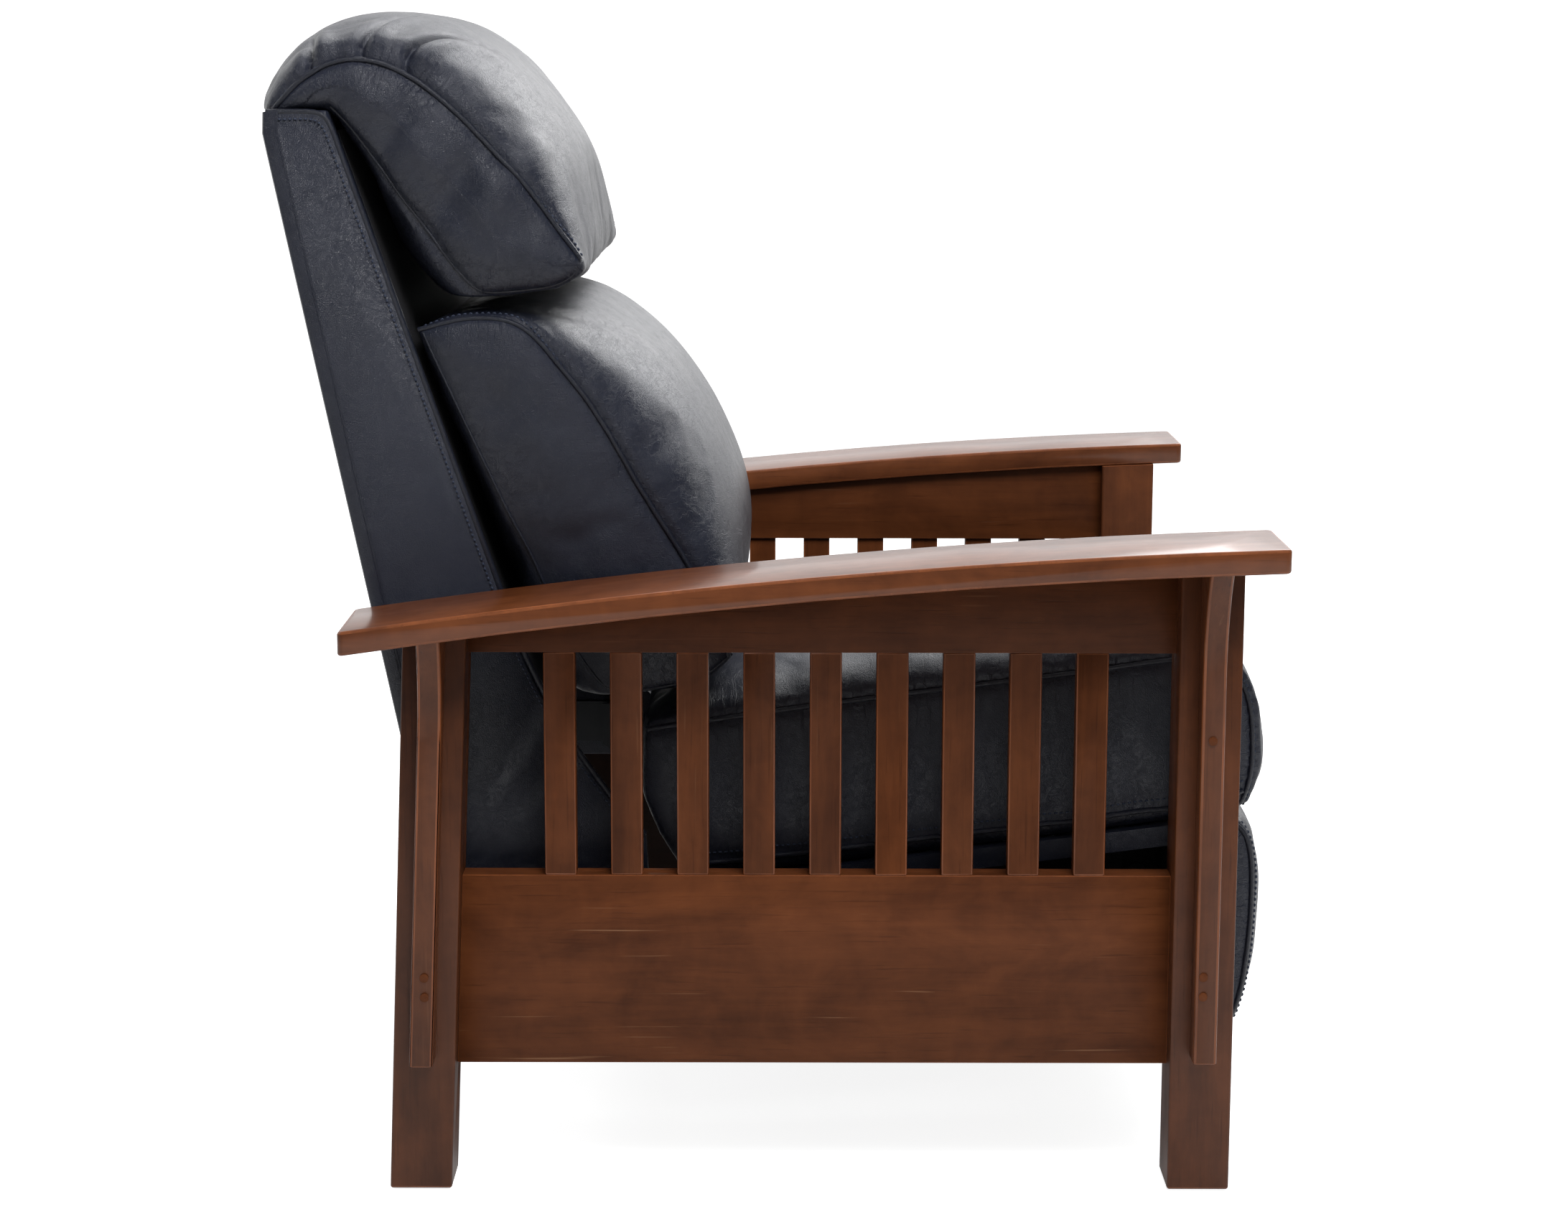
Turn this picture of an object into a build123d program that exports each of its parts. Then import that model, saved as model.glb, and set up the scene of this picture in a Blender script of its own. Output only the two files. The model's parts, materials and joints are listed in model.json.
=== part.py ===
from build123d import *
import os
from math import cos, hypot, radians, sin, sqrt, tan

# A push-back mission armchair that reclines. The chair faces -Y, +Z is up and X runs across it.
# The origin is on the floor, in the middle of the chair's outer box. Lengths are in millimetres.
os.makedirs("parts", exist_ok=True)

# Overall sizes of the wooden side frames
overall_width = 864.0
arm_length = 821.0
arm_front_overhang = 3.0
arm_rear_overhang = 29.0
arm_width = 118.0
arm_thickness = 21.5
arm_front_top = 600.0
arm_rear_top = 526.0
arm_bow = 12.0
arm_corner_radius = 6.0
eased_edge = 1.6
leg_edge_radius = 2.5
foot_chamfer = 1.5

# Legs
leg_setback = 62.0
leg_width = 58.0
leg_depth = 56.0
front_leg_inset = 30.5
rear_leg_rake = 20.0
rake_height = 505.0
foot_rise = 1.5

# Side panels: rail, slats and apron stand back from the outer face of the legs
panel_recess = 24.0
rail_thickness = 22.0
rail_bottom_z = 493.0
apron_thickness = 25.0
apron_bottom_z = 113.0
apron_top_z = 289.0
slat_count = 9
slat_width = 28.5
slat_thickness = 18.0
front_slat_gap = 74.05
rear_slat_gap = 156.25

# Joinery
tenon_length = 20.0
tenon_thickness = 10.0
tenon_shoulder = 12.0
slat_tenon_length = 9.0
slat_tenon_shoulder = 4.0
joint_gap = 0.1

# Corbels
corbel_width = 21.0
corbel_reach = 25.0
corbel_flare = 55.0
corbel_flare_height = 95.0
corbel_over = 10.0

# Stretchers, corner blocks and foot glides
stretcher_height = 60.0
stretcher_thickness = 22.0
stretcher_rise = 5.0
front_stretcher_inset = 133.5
rear_stretcher_inset = 88.0
block_leg = 38.0
block_height = 50.0
glide_radius = 13.0
glide_thickness = 4.0

# Seat cushion: places are shares of its depth, forward from the rear, and of its height
seat_rear_y = 104.0
seat_depth = 560.0
seat_base_z = 266.0
seat_height = 221.0
seat_corner_shares = [(0.071, 0.0), (0.0, 0.33), (0.0, 0.656), (0.909, 0.973), (0.986, 0.787),
                      (0.989, 0.389), (0.954, 0.285)]
seat_side_bulge_shares = [0.0, 0.0, 0.004, 0.17, 0.03, 0.18, 0.0]
seat_crown_shares = [(0.071, 0.0), (0.0, 0.33), (0.0, 0.68), (0.891, 1.032), (0.996, 0.815),
                     (0.996, 0.42), (0.954, 0.285)]
seat_crown_bulge_shares = [0.0, 0.0, 0.042, 0.17, 0.06, 0.18, 0.0]
soft_gap = 0.3

# Seat frame under the cushion
deck_clearance = 24.0
deck_thickness = 19.0
deck_rear_inset = 50.0
deck_front_inset = 54.0
seat_rail_thickness = 22.0
seat_rail_height = 45.0
seat_rail_inset = 40.0
seat_rail_rear_inset = 54.0
seat_rail_front_inset = 58.0

# Back frame: places are shares of its run, from its lower front corner, and of its height
back_base_y = 100.0
back_base_z = 262.0
back_run = 340.0
back_height = 705.0
back_clearance = 23.0
back_side_thickness = 25.0
back_panel_thickness = 8.0
back_corner_shares = [(0.569, 0.0), (0.991, 0.99), (0.955, 1.0), (0.824, 1.0), (0.335, 0.309),
                      (0.009, 0.068), (0.0, 0.0)]
back_bulge_shares = [0.0, 0.1, 0.0, 0.0, -0.045, 0.0, 0.0]
inner_panel_shares = (0.21, 0.975)
rear_panel_shares = (0.03, 0.97)
back_rail_height = 45.0
back_rail_thickness = 22.0
top_rail_share = 0.93
middle_rail_share = 0.56
bottom_rail_share = 0.10

# Pillows: corners as shares of the back's run and height, bulges as shares of each side's length
head_side_shares = [(0.882, 1.018), (0.741, 1.068), (0.162, 0.814), (0.432, 0.763)]
head_side_bulge_shares = [0.14, 0.08, 0.14, 0.012]
head_middle_shares = [(1.057, 1.001), (0.721, 1.124), (0.166, 0.815), (0.588, 0.775)]
head_middle_bulge_shares = [0.21, 0.209, 0.05, 0.02]
lumbar_side_shares = [(0.609, 0.724), (0.359, 0.741), (-0.238, 0.301), (0.103, 0.252)]
lumbar_side_bulge_shares = [0.06, 0.048, 0.107, 0.01]
lumbar_middle_shares = [(0.629, 0.722), (0.206, 0.753), (-0.276, 0.345), (0.265, 0.252)]
lumbar_middle_bulge_shares = [0.09, 0.154, 0.05, 0.01]

# Every soft form runs across X through these stations: the share of the half width, how far the
# outline has gone from its side to its middle, and how far it is drawn in
cushion_clearance = 22.0
station_shares = [(1.0, 0.0, 0.95), (0.985, 0.06, 0.985), (0.95, 0.2, 1.0), (0.75, 0.65, 1.0),
                  (0.4, 1.0, 1.0)]

# Steel mechanism: layers outward from the seat rails, and pivots in the side view
plate_thickness = 3.0
link_thickness = 4.0
layer_gap = 1.0
link_half_width = 10.0
pin_radius = 4.0
pin_gap = 0.06
lower_pivot_inset = 104.0
lower_pivot_z = 268.0
lower_link_length = 145.0
lower_link_lean = 8.0
upper_link_length = 150.0
upper_link_lean = 25.0
control_pivot_back = 22.0
control_pivot_up = 21.0
control_tail_back = 14.9
control_tail_up = 5.7
control_half_width = 7.5
control_pin_radius = 3.0
control_slot_gap = 1.6
cross_tube_radius = 8.0
cross_tube_wall = 1.5
cross_tube_distance = 80.0
back_pivot_y = 150.0
back_pivot_z = 300.0
back_pin_radius = 6.0
back_ear_radius = 22.0
plate_drop = 22.0

# Glide tracks on the aprons, along the slope of the seat
track_slope = 7.5
track_height = 34.0
track_depth = 25.0
track_wall = 3.0
glide_travel = 65.0
shoe_length = 46.0
shoe_gap = 0.3
front_shoe_inset = 216.0
rear_shoe_inset = 49.0
front_shoe_z = 246.0
stud_radius = 6.0

# Footrest: a board behind a soft pad, hung on the upper links
footrest_top_z = 322.0
footrest_bottom_z = 121.0
footrest_board_inset = 50.0
footrest_board_thickness = 18.0
footrest_pad_bulge = 33.5
footrest_pad_rise = 6.0
footrest_pad_edge = 14.0
bracket_height = 70.0

# Places that follow from the sizes above
seat_front_y = seat_rear_y - seat_depth
arm_front_y = seat_front_y - arm_front_overhang
arm_rear_y = arm_front_y + arm_length
front_leg_y = arm_front_y + front_leg_inset
front_leg_back_y = front_leg_y + leg_depth
rear_leg_foot_y = arm_rear_y - arm_rear_overhang
front_slat_y = front_leg_back_y + front_slat_gap
rear_slat_y = rear_leg_foot_y - rear_slat_gap
front_stretcher_y = front_leg_y + front_stretcher_inset
rear_stretcher_y = rear_leg_foot_y - rear_stretcher_inset
arm_outer_x = overall_width / 2
arm_inner_x = arm_outer_x - arm_width
leg_outer_x = arm_outer_x - leg_setback
leg_inner_x = leg_outer_x - leg_width
panel_outer_x = leg_outer_x - panel_recess
apron_inner_x = panel_outer_x - apron_thickness
lean = rear_leg_rake / rake_height
slat_middle_x = panel_outer_x - slat_thickness / 2
track_open_x = apron_inner_x - track_depth
cushion_half_width = arm_inner_x - cushion_clearance
back_half_width = arm_inner_x - back_clearance
deck_half_width = arm_inner_x - deck_clearance
seat_rail_outer_x = deck_half_width - seat_rail_inset
front_shoe_y = seat_front_y + front_shoe_inset
rear_shoe_y = seat_rear_y - rear_shoe_inset
lower_pivot_y = seat_front_y + lower_pivot_inset
footrest_board_y = seat_front_y + footrest_board_inset
plate_outer_x = seat_rail_outer_x + plate_thickness
lower_layer_x = plate_outer_x + 2 * layer_gap
lower_layer_end = lower_layer_x + link_thickness
upper_layer_x = lower_layer_end + layer_gap
upper_layer_end = upper_layer_x + link_thickness
control_layer_x = upper_layer_end + layer_gap
control_layer_end = control_layer_x + link_thickness
back_inner_x = back_half_width - back_side_thickness


def mix(first, second, share):
    """A value or point part of the way from one to another."""
    if isinstance(first, tuple):
        return tuple(mix(a, b, share) for a, b in zip(first, second))
    return first + (second - first) * share


def bulged_outline(corners, bulges):
    """A closed outline: each side is a line, or an arc that swells outward by its share of the side."""
    edges = []
    for index, start in enumerate(corners):
        end = corners[(index + 1) % len(corners)]
        swell = bulges[index]
        if swell:
            run, rise = end[0] - start[0], end[1] - start[1]
            middle = mix(start, end, 1 / 2)
            top = (middle[0] + swell * rise, middle[1] - swell * run)
            edges.append(ThreePointArc(start, top, end))
        else:
            edges.append(Line(start, end))
    return make_face(edges)


def slab(outline, x_from, x_to):
    """A side-view outline in Y and Z, as thick as the two places along X."""
    return extrude(Plane.YZ.offset(x_from) * outline, amount=x_to - x_from, dir=(1, 0, 0))


def side_slab(outline, x_from, x_to, side):
    """The same on the right side, or mirrored to the left."""
    low, high = sorted((side * x_from, side * x_to))
    return slab(outline, low, high)


def box(x_from, x_to, y_from, y_to, z_from, z_to):
    """A block between two places along each axis."""
    block = Box(abs(x_to - x_from), abs(y_to - y_from), abs(z_to - z_from))
    return Pos(mix(x_from, x_to, 1 / 2), mix(y_from, y_to, 1 / 2), mix(z_from, z_to, 1 / 2)) * block


def rod(x_from, x_to, y, z, radius):
    """A round bar along X."""
    return Pos(mix(x_from, x_to, 1 / 2), y, z) * Rot(Y=90) * Cylinder(radius, abs(x_to - x_from))


def write(node, shape):
    """Write one sub-part."""
    shape.label = node
    export_step(shape, f"parts/{node}.step")


def group(solids):
    """Separate solids in one sub-part."""
    return Compound(children=list(solids))


def arm_z(y):
    """Underside of the bowed arm at a place along Y."""
    middle_z = mix(arm_front_top, arm_rear_top, 1 / 2) + arm_bow
    half = arm_length / 2
    along = (y - mix(arm_front_y, arm_rear_y, 1 / 2)) / half
    rise = (arm_rear_top - arm_front_top) / 2
    return middle_z + rise * along - arm_bow * along * along - arm_thickness


def rear_leg_back(z):
    """Back edge of the raked rear leg at a height."""
    return rear_leg_foot_y - lean * z


def rear_leg_front(z):
    """Front edge of the raked rear leg at a height."""
    return rear_leg_back(z) - leg_depth


def arm_curve(drop):
    """Three places on the arm's top curve, lowered by a drop, rear to front."""
    middle_y = mix(arm_front_y, arm_rear_y, 1 / 2)
    middle_z = mix(arm_front_top, arm_rear_top, 1 / 2) + arm_bow
    return [(arm_rear_y, arm_rear_top - drop), (middle_y, middle_z - drop),
            (arm_front_y, arm_front_top - drop)]


def above_arm(x_from, x_to, side):
    """All the space above the arm's underside, to trim what stands under it."""
    rear, middle, front = arm_curve(arm_thickness)
    over = 2 * arm_thickness
    outline = make_face([ThreePointArc(rear, middle, front),
                         Line(front, (front[0] - over, front[1])),
                         Line((front[0] - over, front[1]), (front[0] - over, front[1] + over)),
                         Line((front[0] - over, front[1] + over), (rear[0] + over, front[1] + over)),
                         Line((rear[0] + over, front[1] + over), (rear[0] + over, rear[1])),
                         Line((rear[0] + over, rear[1]), rear)])
    return side_slab(outline, x_from, x_to, side)


def arm(side):
    top_rear, top_middle, top_front = arm_curve(0)
    low_rear, low_middle, low_front = arm_curve(arm_thickness)
    outline = make_face([ThreePointArc(top_rear, top_middle, top_front), Line(top_front, low_front),
                         ThreePointArc(low_front, low_middle, low_rear), Line(low_rear, top_rear)])
    board = side_slab(outline, arm_inner_x, arm_outer_x, side)
    upright = board.edges().filter_by(Axis.Z)
    board = fillet(upright, arm_corner_radius)
    front_face = board.faces().sort_by(Axis.Y)[0]
    return chamfer(front_face.edges().filter_by(Axis.X), eased_edge)


def leg(side, front):
    top = max(arm_front_top, arm_rear_top)
    if front:
        corners = [(front_leg_y, foot_rise), (front_leg_back_y, foot_rise), (front_leg_back_y, top),
                   (front_leg_y, top)]
    else:
        corners = [(rear_leg_front(foot_rise), foot_rise), (rear_leg_back(foot_rise), foot_rise),
                   (rear_leg_back(top), top), (rear_leg_front(top), top)]
    post = side_slab(make_face(Polyline(*corners, close=True).edges()), leg_inner_x, leg_outer_x, side)
    long_edges = post.edges().filter_by(lambda e: e.length > apron_top_z)
    post = fillet(long_edges, leg_edge_radius)
    foot = post.faces().sort_by(Axis.Z)[0]
    post = chamfer(foot.edges(), foot_chamfer)
    post -= above_arm(leg_inner_x - eased_edge, leg_outer_x + eased_edge, side)
    for z_from, z_to, thickness in ((apron_bottom_z, apron_top_z, apron_thickness),
                                    (rail_bottom_z, None, rail_thickness)):
        post -= tenon(side, front, z_from, z_to, thickness, joint_gap)
    y = foot_y(front)
    post -= Pos(side * mix(leg_inner_x, leg_outer_x, 1 / 2), y, glide_thickness / 2) * Cylinder(
        glide_radius + joint_gap, glide_thickness)
    return post


def foot_y(front):
    """Middle of a leg's foot."""
    if front:
        return front_leg_y + leg_depth / 2
    return rear_leg_back(foot_rise) - leg_depth / 2


def tenon(side, front, z_from, z_to, thickness, grow):
    """Stub tenon of an apron or upper rail, or its mortise where it grows by the joint's gap."""
    if z_to is None:
        rail_end_y = front_leg_back_y if front else rear_leg_front(z_from)
        z_to = arm_z(rail_end_y)
    shoulder = min(tenon_shoulder, (z_to - z_from) / 4)
    middle_x = panel_outer_x - thickness / 2
    half = tenon_thickness / 2 + grow
    low, high = z_from + shoulder - grow, z_to - shoulder + grow
    if front:
        y_in, y_out = front_leg_back_y - tenon_length - grow, front_leg_back_y
    else:
        y_in, y_out = rear_leg_front(high), rear_leg_front(low) + tenon_length + grow
    return box(side * (middle_x - half), side * (middle_x + half), y_in, y_out, low, high)


def panel_board(side, z_from, z_to, thickness):
    """Apron between the legs with its tenons, or the upper rail, which has no top and meets the arm."""
    top = z_to if z_to is not None else arm_front_top
    corners = [(front_leg_back_y, z_from), (rear_leg_front(z_from), z_from), (rear_leg_front(top), top),
               (front_leg_back_y, top)]
    board = side_slab(make_face(Polyline(*corners, close=True).edges()), panel_outer_x - thickness,
                      panel_outer_x, side)
    if z_to is None:
        board -= above_arm(panel_outer_x - thickness - eased_edge, panel_outer_x + eased_edge, side)
    for front in (True, False):
        board += tenon(side, front, z_from, z_to, thickness, 0)
    return board


def slat_places():
    """Middle of each slat along Y, rear to front."""
    return [mix(rear_slat_y, front_slat_y, index / (slat_count - 1)) for index in range(slat_count)]


def slat_solid(side, y, grow):
    """One slat with a stub tenon at each end, or only the tenons' room where it grows."""
    half_x, half_y = slat_thickness / 2, slat_width / 2
    low, high = apron_top_z - slat_tenon_length, rail_bottom_z + slat_tenon_length
    tongue_x = half_x - slat_tenon_shoulder + grow
    tongue_y = half_y - slat_tenon_shoulder + grow
    x = side * slat_middle_x
    tongue = box(x - tongue_x, x + tongue_x, y - tongue_y, y + tongue_y, low - grow, high + grow)
    if grow:
        return tongue
    body = box(x - half_x, x + half_x, y - half_y, y + half_y, apron_top_z, rail_bottom_z)
    return body + tongue


def slats(side):
    return group(slat_solid(side, y, 0) for y in slat_places())


def mortised(board, side):
    """A rail or apron with the slats' mortises cut in it."""
    for y in slat_places():
        board -= slat_solid(side, y, joint_gap)
    return board


def corbel(side, front):
    """Bracket on the outer face of a leg, its outer edge flaring in an arc up to the arm."""
    if front:
        middle_low = middle_high = front_leg_y + leg_depth / 2
    else:
        middle_low = rear_leg_back(apron_bottom_z) - leg_depth / 2
        middle_high = rear_leg_back(arm_rear_top) - leg_depth / 2
    flare = corbel_flare - corbel_reach
    flare_start = arm_z(middle_high) - corbel_flare_height
    top = arm_z(middle_high) + corbel_over
    radius = (flare ** 2 + corbel_flare_height ** 2) / (2 * flare)
    rise = top - flare_start
    inner, near = side * leg_outer_x, side * (leg_outer_x + corbel_reach)
    far = near + side * (radius - sqrt(radius ** 2 - rise ** 2))
    outline = make_face([Line((inner, apron_bottom_z), (near, apron_bottom_z)),
                         Line((near, apron_bottom_z), (near, flare_start)),
                         TangentArc((near, flare_start), (far, top), tangent=(0, 1)),
                         Line((far, top), (inner, top)),
                         Line((inner, top), (inner, apron_bottom_z))])
    blank = Pos(0, middle_low, 0) * extrude(Plane.XZ * outline, amount=leg_depth, both=True)
    half = corbel_width / 2
    strip = make_face(Polyline((middle_low - half, apron_bottom_z), (middle_low + half, apron_bottom_z),
                               (middle_high + half, top), (middle_high - half, top), close=True).edges())
    piece = blank & side_slab(strip, leg_outer_x - eased_edge, abs(far) + eased_edge, side)
    outer = [edge for edge in piece.edges() if abs(edge.center().X) > abs(near) - eased_edge
             and edge.bounding_box().size.Z > corbel_width]
    piece = chamfer(outer, eased_edge)
    front_y, rear_y = middle_high - corbel_width, middle_high + corbel_width
    above = make_face(Polyline((front_y, arm_z(front_y)), (rear_y, arm_z(rear_y)), (rear_y, arm_front_top),
                               (front_y, arm_front_top), close=True).edges())
    return piece - side_slab(above, leg_outer_x - eased_edge, abs(far) + eased_edge, side)


def corner_block(side, front):
    """Triangular glue block between a stretcher and an apron."""
    x = side * apron_inner_x
    if front:
        y = front_stretcher_y + stretcher_thickness
    else:
        y = rear_stretcher_y
    toward = 1 if front else -1
    outline = Polyline((x, y), (x - side * block_leg, y), (x, y + toward * block_leg), close=True)
    base = apron_bottom_z + stretcher_rise
    return extrude(Pos(0, 0, base) * make_face(outline.edges()), amount=block_height, dir=(0, 0, 1))


def side_name(side):
    return "right" if side > 0 else "left"


def stretcher(y):
    """Board across the chair between the aprons."""
    z = apron_bottom_z + stretcher_rise
    return box(-apron_inner_x, apron_inner_x, y, y + stretcher_thickness, z, z + stretcher_height)


for side in (1, -1):
    name = side_name(side)
    write(f"arm_{name}", arm(side))
    write(f"front_leg_{name}", leg(side, True))
    write(f"rear_leg_{name}", leg(side, False))
    write(f"front_corbel_{name}", corbel(side, True))
    write(f"rear_corbel_{name}", corbel(side, False))
    rail = panel_board(side, rail_bottom_z, None, rail_thickness)
    write(f"upper_rail_{name}", mortised(rail, side))
    apron = panel_board(side, apron_bottom_z, apron_top_z, apron_thickness)
    write(f"apron_{name}", mortised(apron, side))
    write(f"slats_{name}", slats(side))

write("front_stretcher", stretcher(front_stretcher_y))
write("rear_stretcher", stretcher(rear_stretcher_y))
write("corner_blocks", group(corner_block(side, front) for side in (1, -1) for front in (True, False)))
leg_middle_x = mix(leg_inner_x, leg_outer_x, 1 / 2)
write("foot_glides", group(Pos(side * leg_middle_x, foot_y(front), glide_thickness / 2)
                           * Cylinder(glide_radius, glide_thickness)
                           for side in (1, -1) for front in (True, False)))


def on_seat(share):
    """A place in the side view from shares of the seat cushion's depth and height."""
    return (seat_rear_y - seat_depth * share[0], seat_base_z + seat_height * share[1])


def on_back(share):
    """A place in the side view from shares of the back's run and height."""
    return (back_base_y + back_run * share[0], back_base_z + back_height * share[1])


def drawn_in(corners, factor):
    """Corners pulled in towards their middle."""
    middle = (sum(c[0] for c in corners) / len(corners), sum(c[1] for c in corners) / len(corners))
    return [mix(middle, corner, factor) for corner in corners]


def cushion(side_corners, side_bulges, middle_corners, middle_bulges):
    """A stuffed form lofted across X: drawn-in ends, full side seams, and a crown in the middle."""
    far_side = [(-share, blend, factor) for share, blend, factor in reversed(station_shares)]
    sections = []
    for share, blend, factor in station_shares + far_side:
        corners = [mix(a, b, blend) for a, b in zip(side_corners, middle_corners)]
        bulges = [mix(a, b, blend) for a, b in zip(side_bulges, middle_bulges)]
        outline = bulged_outline(drawn_in(corners, factor), bulges)
        sections.append(Plane.YZ.offset(cushion_half_width * share) * outline)
    return loft(sections, ruled=True)


def line_z(first, second, y):
    """Height on the straight line through two places."""
    return mix(first[1], second[1], (y - first[0]) / (second[0] - first[0]))


def below_cushion(y, drop):
    """Height under the seat cushion's flat bottom at a place along Y."""
    return line_z(on_seat(seat_corner_shares[0]), on_seat(seat_corner_shares[-1]), y) - soft_gap - drop


def seat_strip(y_front, y_rear, drop_top, drop_bottom, x_from, x_to, side=1):
    """A board that lies along the underside of the seat cushion."""
    corners = [(y_front, below_cushion(y_front, drop_top)), (y_rear, below_cushion(y_rear, drop_top)),
               (y_rear, below_cushion(y_rear, drop_bottom)), (y_front, below_cushion(y_front, drop_bottom))]
    return side_slab(make_face(Polyline(*corners, close=True).edges()), x_from, x_to, side)


seat_corners = [on_seat(share) for share in seat_corner_shares]
seat_crown = [on_seat(share) for share in seat_crown_shares]
deck_front_y = seat_front_y + deck_front_inset
deck_rear_y = seat_rear_y - deck_rear_inset
rail_front_y = seat_front_y + seat_rail_front_inset
rail_rear_y = seat_rear_y - seat_rail_rear_inset
rail_low = deck_thickness + seat_rail_height
rail_inner_x = seat_rail_outer_x - seat_rail_thickness

write("seat_cushion", cushion(seat_corners, seat_side_bulge_shares, seat_crown, seat_crown_bulge_shares))
deck = seat_strip(deck_front_y, deck_rear_y, 0, deck_thickness, -deck_half_width, deck_half_width)
write("seat_deck", deck)
for side in (1, -1):
    side_rail = seat_strip(rail_front_y, rail_rear_y, deck_thickness, rail_low, rail_inner_x,
                           seat_rail_outer_x, side)
    write(f"seat_side_rail_{side_name(side)}", side_rail)
for node, y in (("seat_front_rail", rail_front_y), ("seat_rear_rail", rail_rear_y - seat_rail_thickness)):
    write(node, seat_strip(y, y + seat_rail_thickness, deck_thickness, rail_low,
                           -rail_inner_x, rail_inner_x))

back_corners = [on_back(share) for share in back_corner_shares]
lower_rear, upper_rear = back_corners[:2]
top_front, bend_top = back_corners[3:5]


def back_front_y(z):
    """Front face of the back frame at a height above its bend."""
    return mix(bend_top[0], top_front[0], (z - bend_top[1]) / (top_front[1] - bend_top[1]))


def back_rear_y(z):
    """Rear face of the back frame at a height."""
    return mix(lower_rear[0], upper_rear[0], (z - lower_rear[1]) / (upper_rear[1] - lower_rear[1]))


def back_strip(edge_y, z_from, z_to, depth):
    """A thin board along the front or rear face of the back frame, between its side panels."""
    corners = [(edge_y(z_from), z_from), (edge_y(z_to), z_to), (edge_y(z_to) + depth, z_to),
               (edge_y(z_from) + depth, z_from)]
    return slab(make_face(Polyline(*corners, close=True).edges()), -back_inner_x, back_inner_x)


def back_rail(share):
    """A cross rail of the back frame, against the rear panel."""
    z = back_base_z + back_height * share
    z_low, z_high = z - back_rail_height / 2, z + back_rail_height / 2
    low, high = back_rear_y(z_low) - back_panel_thickness, back_rear_y(z_high) - back_panel_thickness
    corners = [(low, z_low), (high, z_high), (high - back_rail_thickness, z_high),
               (low - back_rail_thickness, z_low)]
    return slab(make_face(Polyline(*corners, close=True).edges()), -back_inner_x, back_inner_x)


for side in (1, -1):
    panel = side_slab(bulged_outline(back_corners, back_bulge_shares), back_inner_x, back_half_width, side)
    write(f"back_side_{side_name(side)}", panel)
inner_low, inner_high = (back_base_z + back_height * share for share in inner_panel_shares)
rear_low, rear_high = (back_base_z + back_height * share for share in rear_panel_shares)
write("back_inner_panel", back_strip(back_front_y, inner_low, inner_high, back_panel_thickness))
write("back_rear_panel", back_strip(back_rear_y, rear_low, rear_high, -back_panel_thickness))
write("back_top_rail", back_rail(top_rail_share))
write("back_middle_rail", back_rail(middle_rail_share))
write("back_bottom_rail", back_rail(bottom_rail_share))


def pillow(side_shares, side_bulges, middle_shares, middle_bulges):
    """A pillow on the front of the back frame, hollowed where the frame stands."""
    form = cushion([on_back(share) for share in side_shares], side_bulges,
                   [on_back(share) for share in middle_shares], middle_bulges)
    frame_room = offset(bulged_outline(back_corners, back_bulge_shares), amount=soft_gap)
    return form - slab(frame_room, -2 * cushion_half_width, 2 * cushion_half_width)


write("head_pillow", pillow(head_side_shares, head_side_bulge_shares,
                            head_middle_shares, head_middle_bulge_shares))
write("lumbar_pillow", pillow(lumbar_side_shares, lumbar_side_bulge_shares,
                              lumbar_middle_shares, lumbar_middle_bulge_shares))


def direction(degrees_up):
    """Unit step in the side view: 0 is forward, 90 is up."""
    return (-cos(radians(degrees_up)), sin(radians(degrees_up)))


def reach(start, degrees_up, length):
    """The place at a length and angle from another."""
    step = direction(degrees_up)
    return (start[0] + length * step[0], start[1] + length * step[1])


def bar(start, end, half_width):
    """Outline of a flat link with round ends."""
    run, rise = end[0] - start[0], end[1] - start[1]
    length = hypot(run, rise)
    across = (-rise / length * half_width, run / length * half_width)
    along = (run / length * half_width, rise / length * half_width)
    first, second = (start[0] + across[0], start[1] + across[1]), (end[0] + across[0], end[1] + across[1])
    third, fourth = (end[0] - across[0], end[1] - across[1]), (start[0] - across[0], start[1] - across[1])
    end_tip = (end[0] + along[0], end[1] + along[1])
    start_tip = (start[0] - along[0], start[1] - along[1])
    return make_face([Line(first, second), ThreePointArc(second, end_tip, third),
                      Line(third, fourth), ThreePointArc(fourth, start_tip, first)])


def bored(plate, places, radius, x_from, x_to, side):
    """A plate with round holes through it."""
    for y, z in places:
        plate -= rod(side * x_from, side * x_to, y, z, radius)
    return plate


lower_pivot = (lower_pivot_y, lower_pivot_z)
elbow = reach(lower_pivot, -90 - lower_link_lean, lower_link_length)
upper_pivot = reach(elbow, 90 - upper_link_lean, upper_link_length)
control_pivot = (lower_pivot_y + control_pivot_back, lower_pivot_z + control_pivot_up)
control_tail = (elbow[0] + control_tail_back, elbow[1] + control_tail_up)
back_pivot = (back_pivot_y, back_pivot_z)


def track_z(y):
    """Height of the glide track's middle line."""
    return front_shoe_z - (y - front_shoe_y) * tan(radians(track_slope))


def track_frame(x, y):
    """A plane along the track: its X runs back down the slope, its Y up across it."""
    slope = radians(track_slope)
    return Plane(origin=(x, y, track_z(y)), x_dir=(0, cos(slope), -sin(slope)), z_dir=(1, 0, 0))


def glide_track(side):
    """Channel screwed to the apron's inner face, open towards the seat."""
    slope = cos(radians(track_slope))
    run = (rear_shoe_y - front_shoe_y + glide_travel) / slope + shoe_length + 2 * track_wall
    middle_y = mix(front_shoe_y - glide_travel * slope, rear_shoe_y, 1 / 2)
    low, high = sorted((side * track_open_x, side * apron_inner_x))
    outer = extrude(track_frame(low, middle_y) * Rectangle(run, track_height), amount=high - low)
    low, high = sorted((side * (track_open_x - track_wall), side * (apron_inner_x - track_wall)))
    opening = Rectangle(run + track_wall, track_height - 2 * track_wall)
    return outer - extrude(track_frame(low, middle_y) * opening, amount=high - low)


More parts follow.
